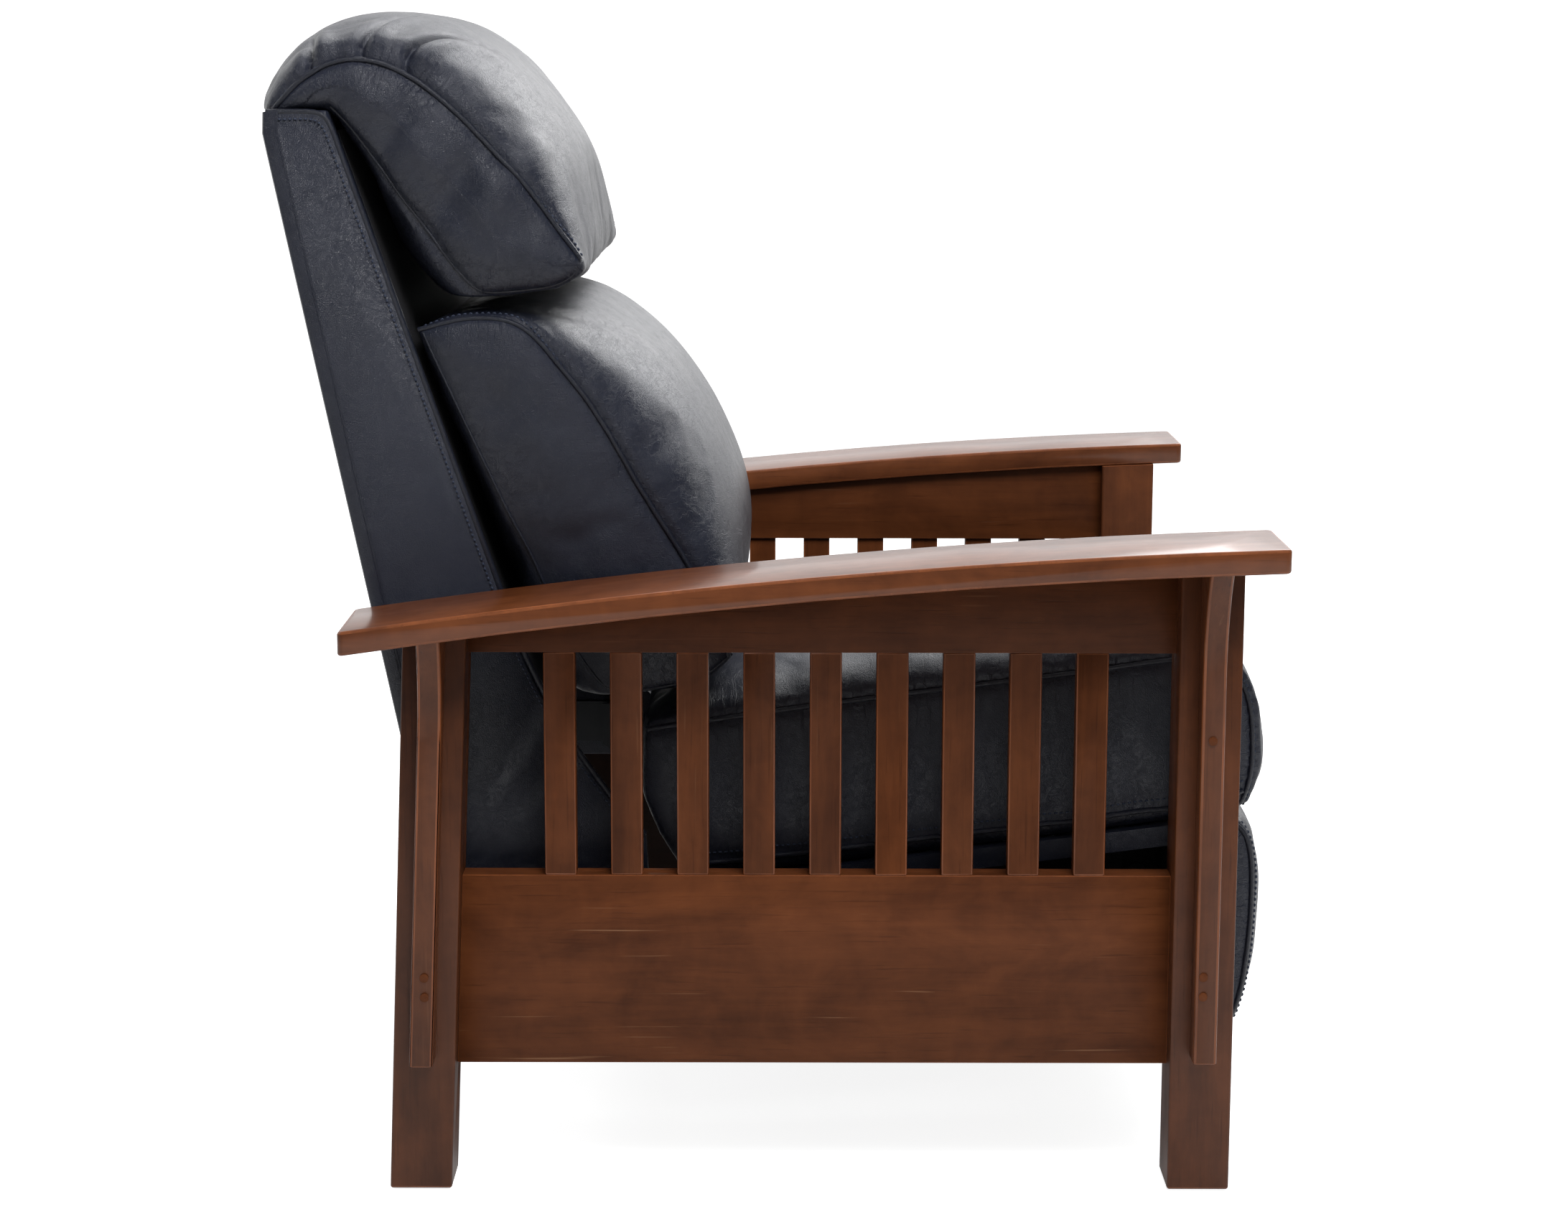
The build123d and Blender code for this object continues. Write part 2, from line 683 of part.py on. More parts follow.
def glide_shoe(side, y):
    """Plastic shoe that slides in the track, at the end of the seat plate's stud."""
    low, high = sorted((side * track_open_x, side * (apron_inner_x - track_wall - shoe_gap)))
    shoe_height = track_height - 2 * track_wall - 2 * shoe_gap
    return extrude(track_frame(low, y) * Rectangle(shoe_length, shoe_height), amount=high - low)


def seat_plate(side):
    """Side plate that carries the seat rails, the footrest's pivots and the back's pivot."""
    rear_y = deck_rear_y + soft_gap
    ear = back_ear_radius
    top, low = soft_gap + deck_thickness, rail_low + plate_drop
    corners = [(lower_pivot_y - ear, below_cushion(lower_pivot_y - ear, top)),
               (lower_pivot_y - ear, lower_pivot_z - ear),
               (lower_pivot_y + ear, lower_pivot_z - ear - pin_radius),
               (front_shoe_y, track_z(front_shoe_y) - ear), (rear_shoe_y, track_z(rear_shoe_y) - ear),
               (back_pivot_y + ear, back_pivot_z - ear), (back_pivot_y + ear, back_pivot_z + ear),
               (back_pivot_y - ear, back_pivot_z + ear), (back_pivot_y - ear, back_pivot_z - ear),
               (rear_y, below_cushion(rear_y, top))]
    outline = make_face(Polyline(*corners, close=True).edges())
    plate = side_slab(outline, seat_rail_outer_x, plate_outer_x, side)
    plate = bored(plate, [back_pivot], back_pin_radius + pin_gap, seat_rail_outer_x - layer_gap,
                  plate_outer_x + layer_gap, side)
    return bored(plate, [lower_pivot, control_pivot], pin_radius, seat_rail_outer_x - layer_gap,
                 plate_outer_x + layer_gap, side)


def glide_stud(side, y):
    """Stud between the seat plate and a shoe."""
    return rod(side * plate_outer_x, side * track_open_x, y, track_z(y), stud_radius)


for side in (1, -1):
    name = side_name(side)
    write(f"glide_track_{name}", glide_track(side))
    write(f"seat_plate_{name}", seat_plate(side))
write("glide_shoes", group(glide_shoe(side, y) for side in (1, -1) for y in (front_shoe_y, rear_shoe_y)))
write("glide_studs", group(glide_stud(side, y) for side in (1, -1) for y in (front_shoe_y, rear_shoe_y)))


def lower_link(side):
    """First footrest link, hung from the seat plate."""
    link = side_slab(bar(lower_pivot, elbow, link_half_width), lower_layer_x, lower_layer_end, side)
    return bored(link, [lower_pivot], pin_radius + pin_gap, lower_layer_x - layer_gap,
                 lower_layer_end + layer_gap, side)


def upper_link(side):
    """Second footrest link, with a tail past the elbow for the control link."""
    link = side_slab(bar(elbow, upper_pivot, link_half_width), upper_layer_x, upper_layer_end, side)
    link += side_slab(bar(elbow, control_tail, control_half_width), upper_layer_x, upper_layer_end, side)
    return bored(link, [elbow, upper_pivot], pin_radius + pin_gap, upper_layer_x - layer_gap,
                 upper_layer_end + layer_gap, side)


def control_link(side):
    """Link that turns the upper link by its tail; the hole at the tail is an open pivot with clearance."""
    x_low, x_high = control_layer_x - layer_gap, control_layer_end + layer_gap
    link = side_slab(bar(control_pivot, control_tail, control_half_width), control_layer_x,
                     control_layer_end, side)
    link = bored(link, [control_pivot], pin_radius + pin_gap, x_low, x_high, side)
    return bored(link, [control_tail], control_pin_radius + control_slot_gap, x_low, x_high, side)


cross_tube_at = reach(lower_pivot, -90 - lower_link_lean, cross_tube_distance)
cross_tube = rod(-lower_layer_x, lower_layer_x, *cross_tube_at, cross_tube_radius)
cross_tube -= rod(-lower_layer_x, lower_layer_x, *cross_tube_at, cross_tube_radius - cross_tube_wall)
write("link_cross_tube", cross_tube)


def pins(place, radius, x_from, x_to):
    """The pair of pins at one pivot, right and left."""
    return [rod(side * x_from, side * x_to, *place, radius) for side in (1, -1)]


for side in (1, -1):
    name = side_name(side)
    write(f"lower_link_{name}", lower_link(side))
    write(f"upper_link_{name}", upper_link(side))
    write(f"control_link_{name}", control_link(side))
seat_pins = pins(lower_pivot, pin_radius, seat_rail_outer_x, lower_layer_end)
seat_pins += pins(control_pivot, pin_radius, seat_rail_outer_x, control_layer_end)
write("seat_pivot_pins", group(seat_pins))
write("elbow_pins", group(pins(elbow, pin_radius, lower_layer_end, upper_layer_end)))
write("control_pins", group(pins(control_tail, control_pin_radius, upper_layer_end, control_layer_end)))

board_front_y = footrest_board_y - footrest_board_thickness
write("footrest_board", box(-deck_half_width, deck_half_width, board_front_y, footrest_board_y,
                            footrest_bottom_z, footrest_top_z))


def footrest_section(share, factor):
    """Side view of the pad: flat against the board, its front swelling to the photographed line."""
    middle_z = mix(footrest_bottom_z, footrest_top_z, 1 / 2)
    half = (footrest_top_z - footrest_bottom_z) / 2 * factor
    edge, swell = footrest_pad_edge * factor, footrest_pad_bulge * factor
    back = board_front_y - soft_gap
    corners = [(back, middle_z + half), (back - edge, middle_z + half + footrest_pad_rise),
               (back - edge, middle_z - half + edge / 2), (back, middle_z - half)]
    bulges = [0.1, (swell - edge) / (2 * half - edge), 0.1, 0.0]
    return Plane.YZ.offset(deck_half_width * share) * bulged_outline(corners, bulges)


pad_stations = [(share, mix(factor, 1.0, blend)) for share, blend, factor in station_shares]
pad_stations += [(-share, factor) for share, factor in reversed(pad_stations)]
write("footrest_pad", loft([footrest_section(share, factor) for share, factor in pad_stations], ruled=True))


def footrest_bracket(side):
    """Bracket on the back of the footrest board, with an eye at the upper link's end."""
    foot = box(side * control_layer_x, side * control_layer_end, footrest_board_y, upper_pivot[0],
               upper_pivot[1] - bracket_height / 2, upper_pivot[1] + link_half_width)
    eye = rod(side * control_layer_x, side * control_layer_end, *upper_pivot, link_half_width)
    return foot + eye


for side in (1, -1):
    write(f"footrest_bracket_{side_name(side)}", footrest_bracket(side))
write("footrest_pins", group(pins(upper_pivot, pin_radius, upper_layer_x, control_layer_x)))


def back_bracket(side):
    """Steel bracket inside the back's side panel, with the pivot pin."""
    x_low, x_high = back_inner_x - plate_thickness, back_inner_x
    ear = back_ear_radius
    return side_slab(bar(back_pivot, (back_pivot_y + 3 * ear, back_pivot_z), ear), x_low, x_high, side)


for side in (1, -1):
    write(f"back_bracket_{side_name(side)}", back_bracket(side))
back_pins = pins(back_pivot, back_pin_radius, seat_rail_outer_x, back_inner_x - plate_thickness)
write("back_pivot_pins", group(back_pins))
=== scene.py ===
import json
from math import cos, exp, pi, radians, sin

import bmesh
import bpy
import numpy as np
from bpy.props import FloatProperty, FloatVectorProperty, IntProperty, PointerProperty
from mathutils import Euler, Matrix, Vector
from mathutils.bvhtree import BVHTree
from mathutils.kdtree import KDTree


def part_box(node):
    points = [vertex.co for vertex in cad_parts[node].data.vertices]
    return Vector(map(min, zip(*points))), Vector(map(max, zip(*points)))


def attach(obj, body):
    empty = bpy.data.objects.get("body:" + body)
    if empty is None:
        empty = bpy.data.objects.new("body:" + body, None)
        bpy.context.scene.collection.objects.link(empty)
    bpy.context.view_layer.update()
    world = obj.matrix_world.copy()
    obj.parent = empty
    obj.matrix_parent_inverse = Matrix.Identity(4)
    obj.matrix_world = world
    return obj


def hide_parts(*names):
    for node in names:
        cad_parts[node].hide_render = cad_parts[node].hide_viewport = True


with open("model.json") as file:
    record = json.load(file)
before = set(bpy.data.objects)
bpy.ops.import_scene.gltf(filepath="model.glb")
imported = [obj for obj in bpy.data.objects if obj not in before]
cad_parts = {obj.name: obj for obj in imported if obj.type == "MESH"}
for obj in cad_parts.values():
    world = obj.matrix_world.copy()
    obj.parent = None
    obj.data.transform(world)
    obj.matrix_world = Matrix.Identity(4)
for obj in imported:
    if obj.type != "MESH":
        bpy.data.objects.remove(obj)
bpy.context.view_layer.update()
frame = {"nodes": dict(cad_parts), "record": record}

bl_info = {
    "name": "Mission recliner",
    "version": (1, 0, 0),
    "blender": (4, 5, 0),
    "location": "3D View > Sidebar > Recliner",
    "description": "Dresses a slatted push-back armchair in stained wood and navy leather",
    "category": "Object",
}

# The two sides of the chair along X
SIDES = (("right", 1), ("left", -1))

# Side views of the soft pieces, as (y, z) in millimetres. Each loop has four runs that meet at its
# corners: over the front, under the bottom, up the back, and over the top.
HEAD_PIPING = [
    [(430, 967), (421, 980), (395, 1002), (375, 1010), (352, 1015), (312, 1002), (290, 986),
     (259, 959), (241, 939), (209, 907), (188, 880), (172, 857), (153, 839)],
    [(153, 839), (151, 831), (163, 815), (183, 806), (247, 801)],
    [(247, 801), (263, 817), (288, 851), (319, 891), (352, 936), (380, 967)],
    [(380, 967), (395, 966), (412, 966), (430, 967)],
]
HEAD_CROWN = [
    [(453, 962), (452.5, 977), (442.5, 994.5), (428, 1020.2), (403.6, 1039.4), (377, 1051.4), (347, 1055),
     (316, 1054), (287, 1048), (261, 1034), (238, 1018), (218, 996), (199, 972), (184, 948), (171, 923),
     (164, 897), (156.5, 866), (153, 845), (150, 818)],
    [(150, 818), (157, 814), (170, 810), (195, 806), (300, 801)],
    [(300, 807), (330, 844), (351, 905), (370, 958), (378, 971)],
    [(378, 967), (392, 966), (420, 966), (438, 962), (446, 957), (453, 962)],
]
LUMBAR_PIPING = [
    [(307, 777), (290, 782), (270, 787), (250, 789), (227, 788), (211, 782), (198, 771), (184, 751),
     (162, 724), (134, 683), (116, 648), (98, 618), (79, 588), (63, 562), (45, 530), (31, 500), (23, 474)],
    [(23, 474), (44, 455), (72, 447), (104, 440), (133, 440)],
    [(133, 440), (162, 476), (195, 547), (204, 571), (223, 604), (240, 641), (263, 689), (285, 735),
     (301, 771)],
    [(301, 771), (303, 775), (307, 777)],
]
LUMBAR_CROWN = [
    [(311, 767.5), (281, 783), (248, 790.8), (214, 791.8), (183.3, 790), (155, 782.4), (130.4, 767.8),
     (107.4, 750.2), (84.5, 727.5), (64.6, 701.8), (47.8, 675.2), (33.8, 645.7), (21.7, 616), (13.6, 585.5),
     (9.5, 558), (10.3, 530), (13.5, 508), (20, 486)],
    [(20, 486), (34, 464), (60, 446), (110, 440), (192, 440)],
    [(192, 440), (208, 476), (232, 541), (255, 608), (277, 673), (298, 735), (308, 763)],
    [(308, 763), (309, 765.5), (311, 767.5)],
]
SEAT_PIPING = [
    [(104, 410), (-47, 432), (-167, 448), (-286, 463), (-376, 476), (-405, 479), (-428, 474), (-442, 462),
     (-450, 440), (-453, 412), (-454, 385), (-452, 358), (-444, 338)],
    [(-444, 338), (-430, 331), (-380, 323), (-250, 305), (-78, 284), (64, 267)],
    [(64, 267), (78, 291), (93, 320), (103, 345)],
    [(103, 345), (104, 375), (104, 410)],
]
SEAT_CROWN = [
    [(104, 424), (40, 449), (-60, 478), (-167, 494), (-270, 506), (-340, 509), (-395, 503), (-434, 485),
     (-457, 456), (-467, 425), (-470, 395), (-469, 365), (-456, 340)],
    [(-456, 340), (-436, 331), (-380, 323), (-250, 305), (-78, 284), (64, 267)],
    [(64, 267), (80, 291), (98, 320), (110, 350)],
    [(110, 350), (111, 385), (104, 420)],
]
FOOTREST_PIPING = [
    [(-427, 328), (-439, 329), (-448, 320), (-454, 302), (-456, 275), (-456, 240), (-454, 205),
     (-450, 170), (-444, 143), (-437, 128), (-427, 122)],
    [(-427, 122), (-424.5, 122)],
    [(-424.5, 122), (-424.5, 328)],
    [(-424.5, 328), (-427, 328)],
]
FOOTREST_CROWN = [
    [(-427, 330), (-441, 331), (-455, 321), (-465, 300), (-469, 272), (-469, 240), (-467, 205),
     (-461, 170), (-453, 143), (-442, 127), (-427, 121)],
    [(-427, 121), (-424.5, 121)],
    [(-424.5, 121), (-424.5, 329)],
    [(-424.5, 329), (-427, 330)],
]

# How far over the seat cushion's lower edge its low welt runs, in metres
LOW_WELT_HEIGHT = 0.016

# Tucks of the head pillow's crown where it meets the side seam: side-view place in metres, how far they
# lean forward on their way to the middle, and how far they reach
HEAD_TUCKS = [(0.395, 1.000, 0.10, 0.050), (0.351, 1.013, -0.28, 0.075), (0.312, 1.001, -0.50, 0.080)]
# Section across a tuck, as its crease and the swelling on either side: middle, half width, rise, sharpness
TUCK_SECTION = [(0.0, 0.0032, -0.0105, 1.4), (-0.012, 0.0085, 0.0075, 2), (0.010, 0.009, 0.0030, 2)]

# Dents and swellings of the head pillow: side-view place, distance from the middle of the chair, the two
# radii, the turn of the longer one, and the depth
HEAD_DENTS = [
    (0.268, 0.905, 0.300, 0.014, 0.034, 0.6, 0.0065), (0.238, 0.893, 0.300, 0.014, 0.024, 0.5, -0.0045),
    (0.318, 0.955, 0.300, 0.013, 0.040, 0.5, 0.0055), (0.222, 0.938, 0.268, 0.012, 0.036, 0.5, 0.0028),
    (0.204, 0.920, 0.262, 0.012, 0.034, 0.5, -0.0030), (0.215, 0.862, 0.300, 0.016, 0.026, 0.2, 0.0045),
    (0.290, 0.870, 0.300, 0.016, 0.034, 0.8, 0.0040),
]

# Room that the covers stay out of, in the side view: the back frame, what lies under the head pillow and
# over the lumbar pillow, the seat deck and the footrest board
BACK_ROOM = [(293, 262), (438, 962), (425, 966.4), (379, 966.8), (213, 480), (160, 380), (103, 310),
             (99, 262)]
UNDER_HEAD = [(100, 822), (262, 797), (345, 792), (345, 700), (60, 700)]
OVER_LUMBAR = [(100, 822), (262, 794), (345, 789), (345, 900), (60, 900)]
SEAT_DECK = [(-400, 326.5), (64, 266.3), (64, 200), (-470, 200), (-470, 334)]
FOOTREST_BOARD = [(-424.3, 60), (-424.3, 400), (-380, 400), (-380, 60)]

# The back's side panels in the side view, with the welt along the front edge and the stitches beside it
BACK_FRONT_EDGE = [(434, 965.5), (381.5, 966), (213, 482), (188, 431), (159, 382), (129, 341), (104, 312)]
BACK_STITCH_LINE = [(428, 959), (388, 960), (384, 955), (219, 480), (196, 432), (166, 383), (136, 341),
                    (113, 313)]
# How far from the middle of the chair they lie, the step of the stitches, and the rounding of the panels
SIDE_WELT_REACH = 0.2888
SIDE_STITCH_REACH = 0.2912
SIDE_STITCH_PITCH = 0.0046
SIDE_PANEL_EDGE = 0.0035

# Radius of the side panels' welts and of the thin welts behind the pillows, and the step of their places
SIDE_WELT_RADIUS = 0.0028
SIDE_WELT_STEP = 0.006
BACK_SEAM_RADIUS = 0.0014
BACK_SEAM_STEP = 0.005

# Radius of a topstitch, and the share of the pitch that it covers
STITCH_RADIUS = 0.0010
STITCH_SHARE = 0.66

# How far beside a seam the cover is drawn in
GROOVE_REACH = 0.006

# The covers as cloth: steps of the simulation, weight, stiffness, and shrinking, which below zero is growth
CLOTH = {"quality": 4, "mass": 0.4, "tension_stiffness": 18, "compression_stiffness": 18,
         "shear_stiffness": 8, "bending_stiffness": 1.2, "use_pressure": True, "shrink_min": -0.035,
         "pin_stiffness": 1.0}
# How near a seam they are pinned, and the shares that stay of their settling: of the form and the wrinkles
PINNED_BAND = 0.006
FORM_KEPT = 0.15
WRINKLES_KEPT = 0.5

# The rear cover: its foot and head in the side view, its wall, and one edge of its section, as distance
# from the middle and height over the back frame
BACK_REAR_EDGE = [(294, 266), (438, 965)]
COVER_WALL = 0.0022
COVER_EDGE = [(-0.2918, -0.009), (-0.2928, -0.009), (-0.2932, -0.002), (-0.2915, 0.0022), (-0.285, 0.0040)]
# Its crown over the flat part and that part's columns, and its rows from the foot to the head
COVER_CROWN = 0.005
COVER_COLUMNS, COVER_ROWS = 24, 40
# How much narrower the inner face is, on the flat and on the turned sides, where these start, and its end
COVER_FLAT_NARROWED = 1 - COVER_WALL / 0.29
COVER_SIDE_NARROWED = 0.9968
COVER_SIDE_START = 0.2905
COVER_INNER_END = (0.2913, -0.009)
# How far the cover is drawn in at its head, and the share of its height where that starts and that it takes
COVER_HEAD_DRAWN_IN = 0.0045
COVER_HEAD_START, COVER_HEAD_RUN = 0.97, 0.03

# Middle of each screw plug on the outer faces of the corbels
PLUG_PLACES = [(-400, 424), (-397, 209), (-397, 191), (296, 207), (296, 189)]

# How much higher the corbels' feet end than in the frame's nodes, in metres
FOOT_LIFTS = {"front_corbel": 0.015, "rear_corbel": 0.011}


def metres(points):
    """Side-view places in metres."""
    return [(y / 1000, z / 1000) for y, z in points]


# Properties

class RECLINER_PG_sizes(bpy.types.PropertyGroup):
    """Sizes of the dressing"""

    eased_edge: FloatProperty(name="Eased edge", description="Rounding along the edges of the wood",
                              default=0.0014, unit="LENGTH")
    plug_radius: FloatProperty(name="Plug radius", description="Radius of a screw plug",
                               default=0.004, unit="LENGTH")
    piping_radius: FloatProperty(name="Piping radius", description="Radius of the welt along the seams",
                                 default=0.0024, unit="LENGTH")
    stitch_pitch: FloatProperty(name="Stitch pitch", description="Distance between topstitches",
                                default=0.0052, unit="LENGTH")
    stitch_inset: FloatProperty(name="Stitch inset", description="Topstitching beside the welt",
                                default=0.0095, unit="LENGTH")
    voxel: FloatProperty(name="Leather grid", description="Spacing of the leather's mesh",
                         default=0.006, unit="LENGTH")
    half_width: FloatProperty(name="Cushion half width", description="Seam of the cushions from the middle",
                              default=0.286, unit="LENGTH")
    pressure: FloatProperty(name="Filling pressure", description="How hard the filling pushes",
                            default=4.0)
    frames: IntProperty(name="Settling frames", description="Steps of the cloth simulation", default=20)


class RECLINER_PG_colours(bpy.types.PropertyGroup):
    """Colours of the finishes"""

    wood_deep: FloatVectorProperty(name="Wood, deep", description="Stain in the dark grain", size=3,
                                   subtype="COLOR", default=(0.046, 0.0132, 0.0050))
    wood_bright: FloatVectorProperty(name="Wood, bright", description="Stain on the light grain", size=3,
                                     subtype="COLOR", default=(0.172, 0.0525, 0.0170))
    wood_scratch: FloatVectorProperty(name="Wood, scratch", description="Pale pores and scratches", size=3,
                                      subtype="COLOR", default=(0.29, 0.145, 0.075))
    leather_deep: FloatVectorProperty(name="Leather, deep", description="Leather in its creases", size=3,
                                      subtype="COLOR", default=(0.0064, 0.0082, 0.0158))
    leather_worn: FloatVectorProperty(name="Leather, worn", description="Leather where it is stretched",
                                      size=3, subtype="COLOR", default=(0.0158, 0.0179, 0.0290))
    thread: FloatVectorProperty(name="Thread", description="Topstitching", size=3, subtype="COLOR",
                                default=(0.022, 0.029, 0.050))
    lining: FloatVectorProperty(name="Lining", description="Cloth under the back frame", size=3,
                                subtype="COLOR", default=(0.010, 0.010, 0.012))
    inner_wood: FloatVectorProperty(name="Frame wood", description="Unseen framing timber", size=3,
                                    subtype="COLOR", default=(0.42, 0.27, 0.14))
    # Near black for the framing timber in the seat's shadow: painted shade
    black_timber: FloatVectorProperty(name="Blackened timber", description="Boards in the seat's shade",
                                      size=3, subtype="COLOR", default=(0.012, 0.012, 0.014))
    steel: FloatVectorProperty(name="Steel", description="Painted mechanism", size=3, subtype="COLOR",
                               default=(0.020, 0.021, 0.023))
    nylon: FloatVectorProperty(name="Nylon", description="Glides and shoes", size=3, subtype="COLOR",
                               default=(0.045, 0.045, 0.048))
    floor: FloatVectorProperty(name="Floor", description="Studio floor", size=3, subtype="COLOR",
                               default=(0.68, 0.68, 0.68))


def sizes():
    """The sizes in the scene's property group."""
    return bpy.context.scene.recliner_sizes


def colours():
    """The colours in the scene's property group."""
    return bpy.context.scene.recliner_colours


# Shader groups and materials

def new_group(name, inputs, outputs):
    """An empty shader group with its sockets, and its two end nodes."""
    group = bpy.data.node_groups.new(name, "ShaderNodeTree")
    for label, kind, value in inputs:
        socket = group.interface.new_socket(label, in_out="INPUT", socket_type=kind)
        if value is not None:
            socket.default_value = value
    for label, kind in outputs:
        group.interface.new_socket(label, in_out="OUTPUT", socket_type=kind)
    return group, group.nodes.new("NodeGroupInput"), group.nodes.new("NodeGroupOutput")


def add(tree, kind, settings=None, **values):
    """A node with its properties and the values or links of its inputs, by name."""
    node = tree.nodes.new(kind)
    for key, value in (settings or {}).items():
        setattr(node, key, value)
    for key, value in values.items():
        numbered = key.startswith("in")
        socket = node.inputs[int(key[2:]) if numbered else key.replace("_", " ")]
        if isinstance(value, bpy.types.NodeSocket):
            tree.links.new(value, socket)
        else:
            socket.default_value = value
    return node


def math(tree, operation, first, second=0.0):
    """A Math node's value."""
    return add(tree, "ShaderNodeMath", {"operation": operation}, in0=first, in1=second).outputs[0]


def weighted(tree, *parts):
    """The sum of some values, each times its weight."""
    total = math(tree, "MULTIPLY", *parts[0])
    for part in parts[1:]:
        total = math(tree, "ADD", total, math(tree, "MULTIPLY", *part))
    return total


def scaled(tree, value, factor, offset):
    """A value times a factor, plus an offset."""
    node = add(tree, "ShaderNodeMath", {"operation": "MULTIPLY_ADD"}, in0=value, in1=factor, in2=offset)
    return node.outputs[0]


def ramp(tree, factor, low, high):
    """A value stretched so that low is 0 and high is 1."""
    node = add(tree, "ShaderNodeMapRange", None, Value=factor)
    node.inputs["From Min"].default_value = low
    node.inputs["From Max"].default_value = high
    return node.outputs["Result"]


def blend_colour(tree, factor, first, second, kind="MIX"):
    """A Mix node on colours: inputs 0, 6 and 7."""
    node = add(tree, "ShaderNodeMix", {"data_type": "RGBA", "blend_type": kind}, in0=factor, in6=first,
               in7=second)
    return node.outputs[2]


def noise(tree, vector, scale, detail=4.0, roughness=0.55, distortion=0.0):
    """A noise texture's value."""
    return add(tree, "ShaderNodeTexNoise", None, Vector=vector, Scale=scale, Detail=detail,
               Roughness=roughness, Distortion=distortion).outputs["Fac"]


def stretched(tree, vector, scale):
    """A place scaled along each axis."""
    return add(tree, "ShaderNodeMapping", None, Vector=vector, Scale=scale).outputs[0]


# What the shader group of a finish gives
FINISH_OUTPUTS = [("Color", "NodeSocketColor"), ("Roughness", "NodeSocketFloat"),
                  ("Height", "NodeSocketFloat")]


def put_out(group, end, colour, rough, height):
    """Link a finish's three results to the outputs of its group."""
    for name, value in (("Color", colour), ("Roughness", rough), ("Height", height)):
        group.links.new(value, end.inputs[name])


def stained_grain():
    """Mottled, straight-grained stained wood. Grain runs along the third axis of the vector."""
    group, start, end = new_group(
        "stained_grain",
        [("Vector", "NodeSocketVector", None), ("Deep", "NodeSocketColor", None),
         ("Bright", "NodeSocketColor", None), ("Scratch", "NodeSocketColor", None),
         ("Scratches", "NodeSocketFloat", 0.5)],
        FINISH_OUTPUTS)
    place = start.outputs["Vector"]
    grain = noise(group, stretched(group, place, (95, 95, 7)), 1.0, 7.0, 0.62, 0.35)
    bands = noise(group, stretched(group, place, (17, 17, 1.9)), 1.0, 3.0, 0.5, 0.8)
    mottle = noise(group, stretched(group, place, (17, 17, 8)), 1.0, 5.0, 0.62, 0.6)
    figure = noise(group, stretched(group, place, (24, 24, 38)), 1.0, 3.0, 0.55, 0.5)
    tone = weighted(group, (ramp(group, grain, 0.3, 0.7), 0.24), (ramp(group, bands, 0.3, 0.7), 0.18),
                    (ramp(group, mottle, 0.32, 0.68), 0.40), (ramp(group, figure, 0.3, 0.7), 0.18))
    colour = blend_colour(group, tone, start.outputs["Deep"], start.outputs["Bright"])
    pores = noise(group, stretched(group, place, (420, 420, 16)), 1.0, 2.0, 0.5)
    pore_mask = ramp(group, pores, 0.62, 0.74)
    colour = blend_colour(group, math(group, "MULTIPLY", pore_mask, 0.45), colour, start.outputs["Deep"])
    lines = noise(group, stretched(group, place, (330, 330, 7)), 1.0, 1.0, 0.4)
    spots = noise(group, stretched(group, place, (16, 16, 7)), 1.0, 2.0, 0.5)
    scratch = math(group, "MULTIPLY", ramp(group, lines, 0.68, 0.76), ramp(group, spots, 0.56, 0.64))
    scratch = math(group, "MULTIPLY", scratch, start.outputs["Scratches"])
    colour = blend_colour(group, scratch, colour, start.outputs["Scratch"])
    rough = scaled(group, tone, -0.10, 0.47)
    height = math(group, "SUBTRACT", math(group, "MULTIPLY", grain, 0.6), pore_mask)
    put_out(group, end, colour, rough, height)


def leather_hide():
    """Fine-grained leather with soft tonal drift and small creases."""
    group, start, end = new_group(
        "leather_hide",
        [("Vector", "NodeSocketVector", None), ("Deep", "NodeSocketColor", None),
         ("Worn", "NodeSocketColor", None), ("Seam near", "NodeSocketFloat", 0.0),
         ("Seam run", "NodeSocketFloat", 0.0)],
        FINISH_OUTPUTS)
    place = start.outputs["Vector"]
    drift = noise(group, place, 5.0, 4.0, 0.6, 0.6)
    cloud = noise(group, place, 26.0, 5.0, 0.65, 0.4)
    cells = add(group, "ShaderNodeTexVoronoi", {"feature": "DISTANCE_TO_EDGE"}, Vector=place, Scale=620.0,
                Randomness=1.0).outputs["Distance"]
    pebble = ramp(group, cells, 0.0, 0.22)
    fine = noise(group, place, 900.0, 3.0, 0.6)
    crease_field = noise(group, stretched(group, place, (60, 95, 95)), 1.0, 5.0, 0.7, 1.4)
    crease = math(group, "ABSOLUTE", math(group, "SUBTRACT", crease_field, 0.5))
    crease = ramp(group, crease, 0.0, 0.045)
    clouded = ramp(group, cloud, 0.3, 0.7)
    tone = weighted(group, (ramp(group, drift, 0.3, 0.7), 0.55), (clouded, 0.45))
    tone = math(group, "MULTIPLY", tone, scaled(group, pebble, 0.35, 0.65))
    colour = blend_colour(group, tone, start.outputs["Deep"], start.outputs["Worn"])
    rough = scaled(group, clouded, 0.09, 0.345)
    near = start.outputs["Seam near"]
    run = math(group, "MULTIPLY", start.outputs["Seam run"], 105.0)
    along = add(group, "ShaderNodeCombineXYZ", None, X=run, Y=math(group, "MULTIPLY", near, 1.1),
                Z=math(group, "MULTIPLY", cloud, 0.5)).outputs[0]
    folds = noise(group, along, 1.0, 3.0, 0.55, 0.5)
    ridge = ramp(group, math(group, "ABSOLUTE", math(group, "SUBTRACT", folds, 0.5)), 0.0, 0.09)
    pucker = math(group, "MULTIPLY", near, weighted(group, (folds, 1.1), (ridge, 0.45)))
    height = weighted(group, (pebble, 0.16), (fine, 0.10), (crease, 0.16), (pucker, 1.5))
    put_out(group, end, colour, rough, height)


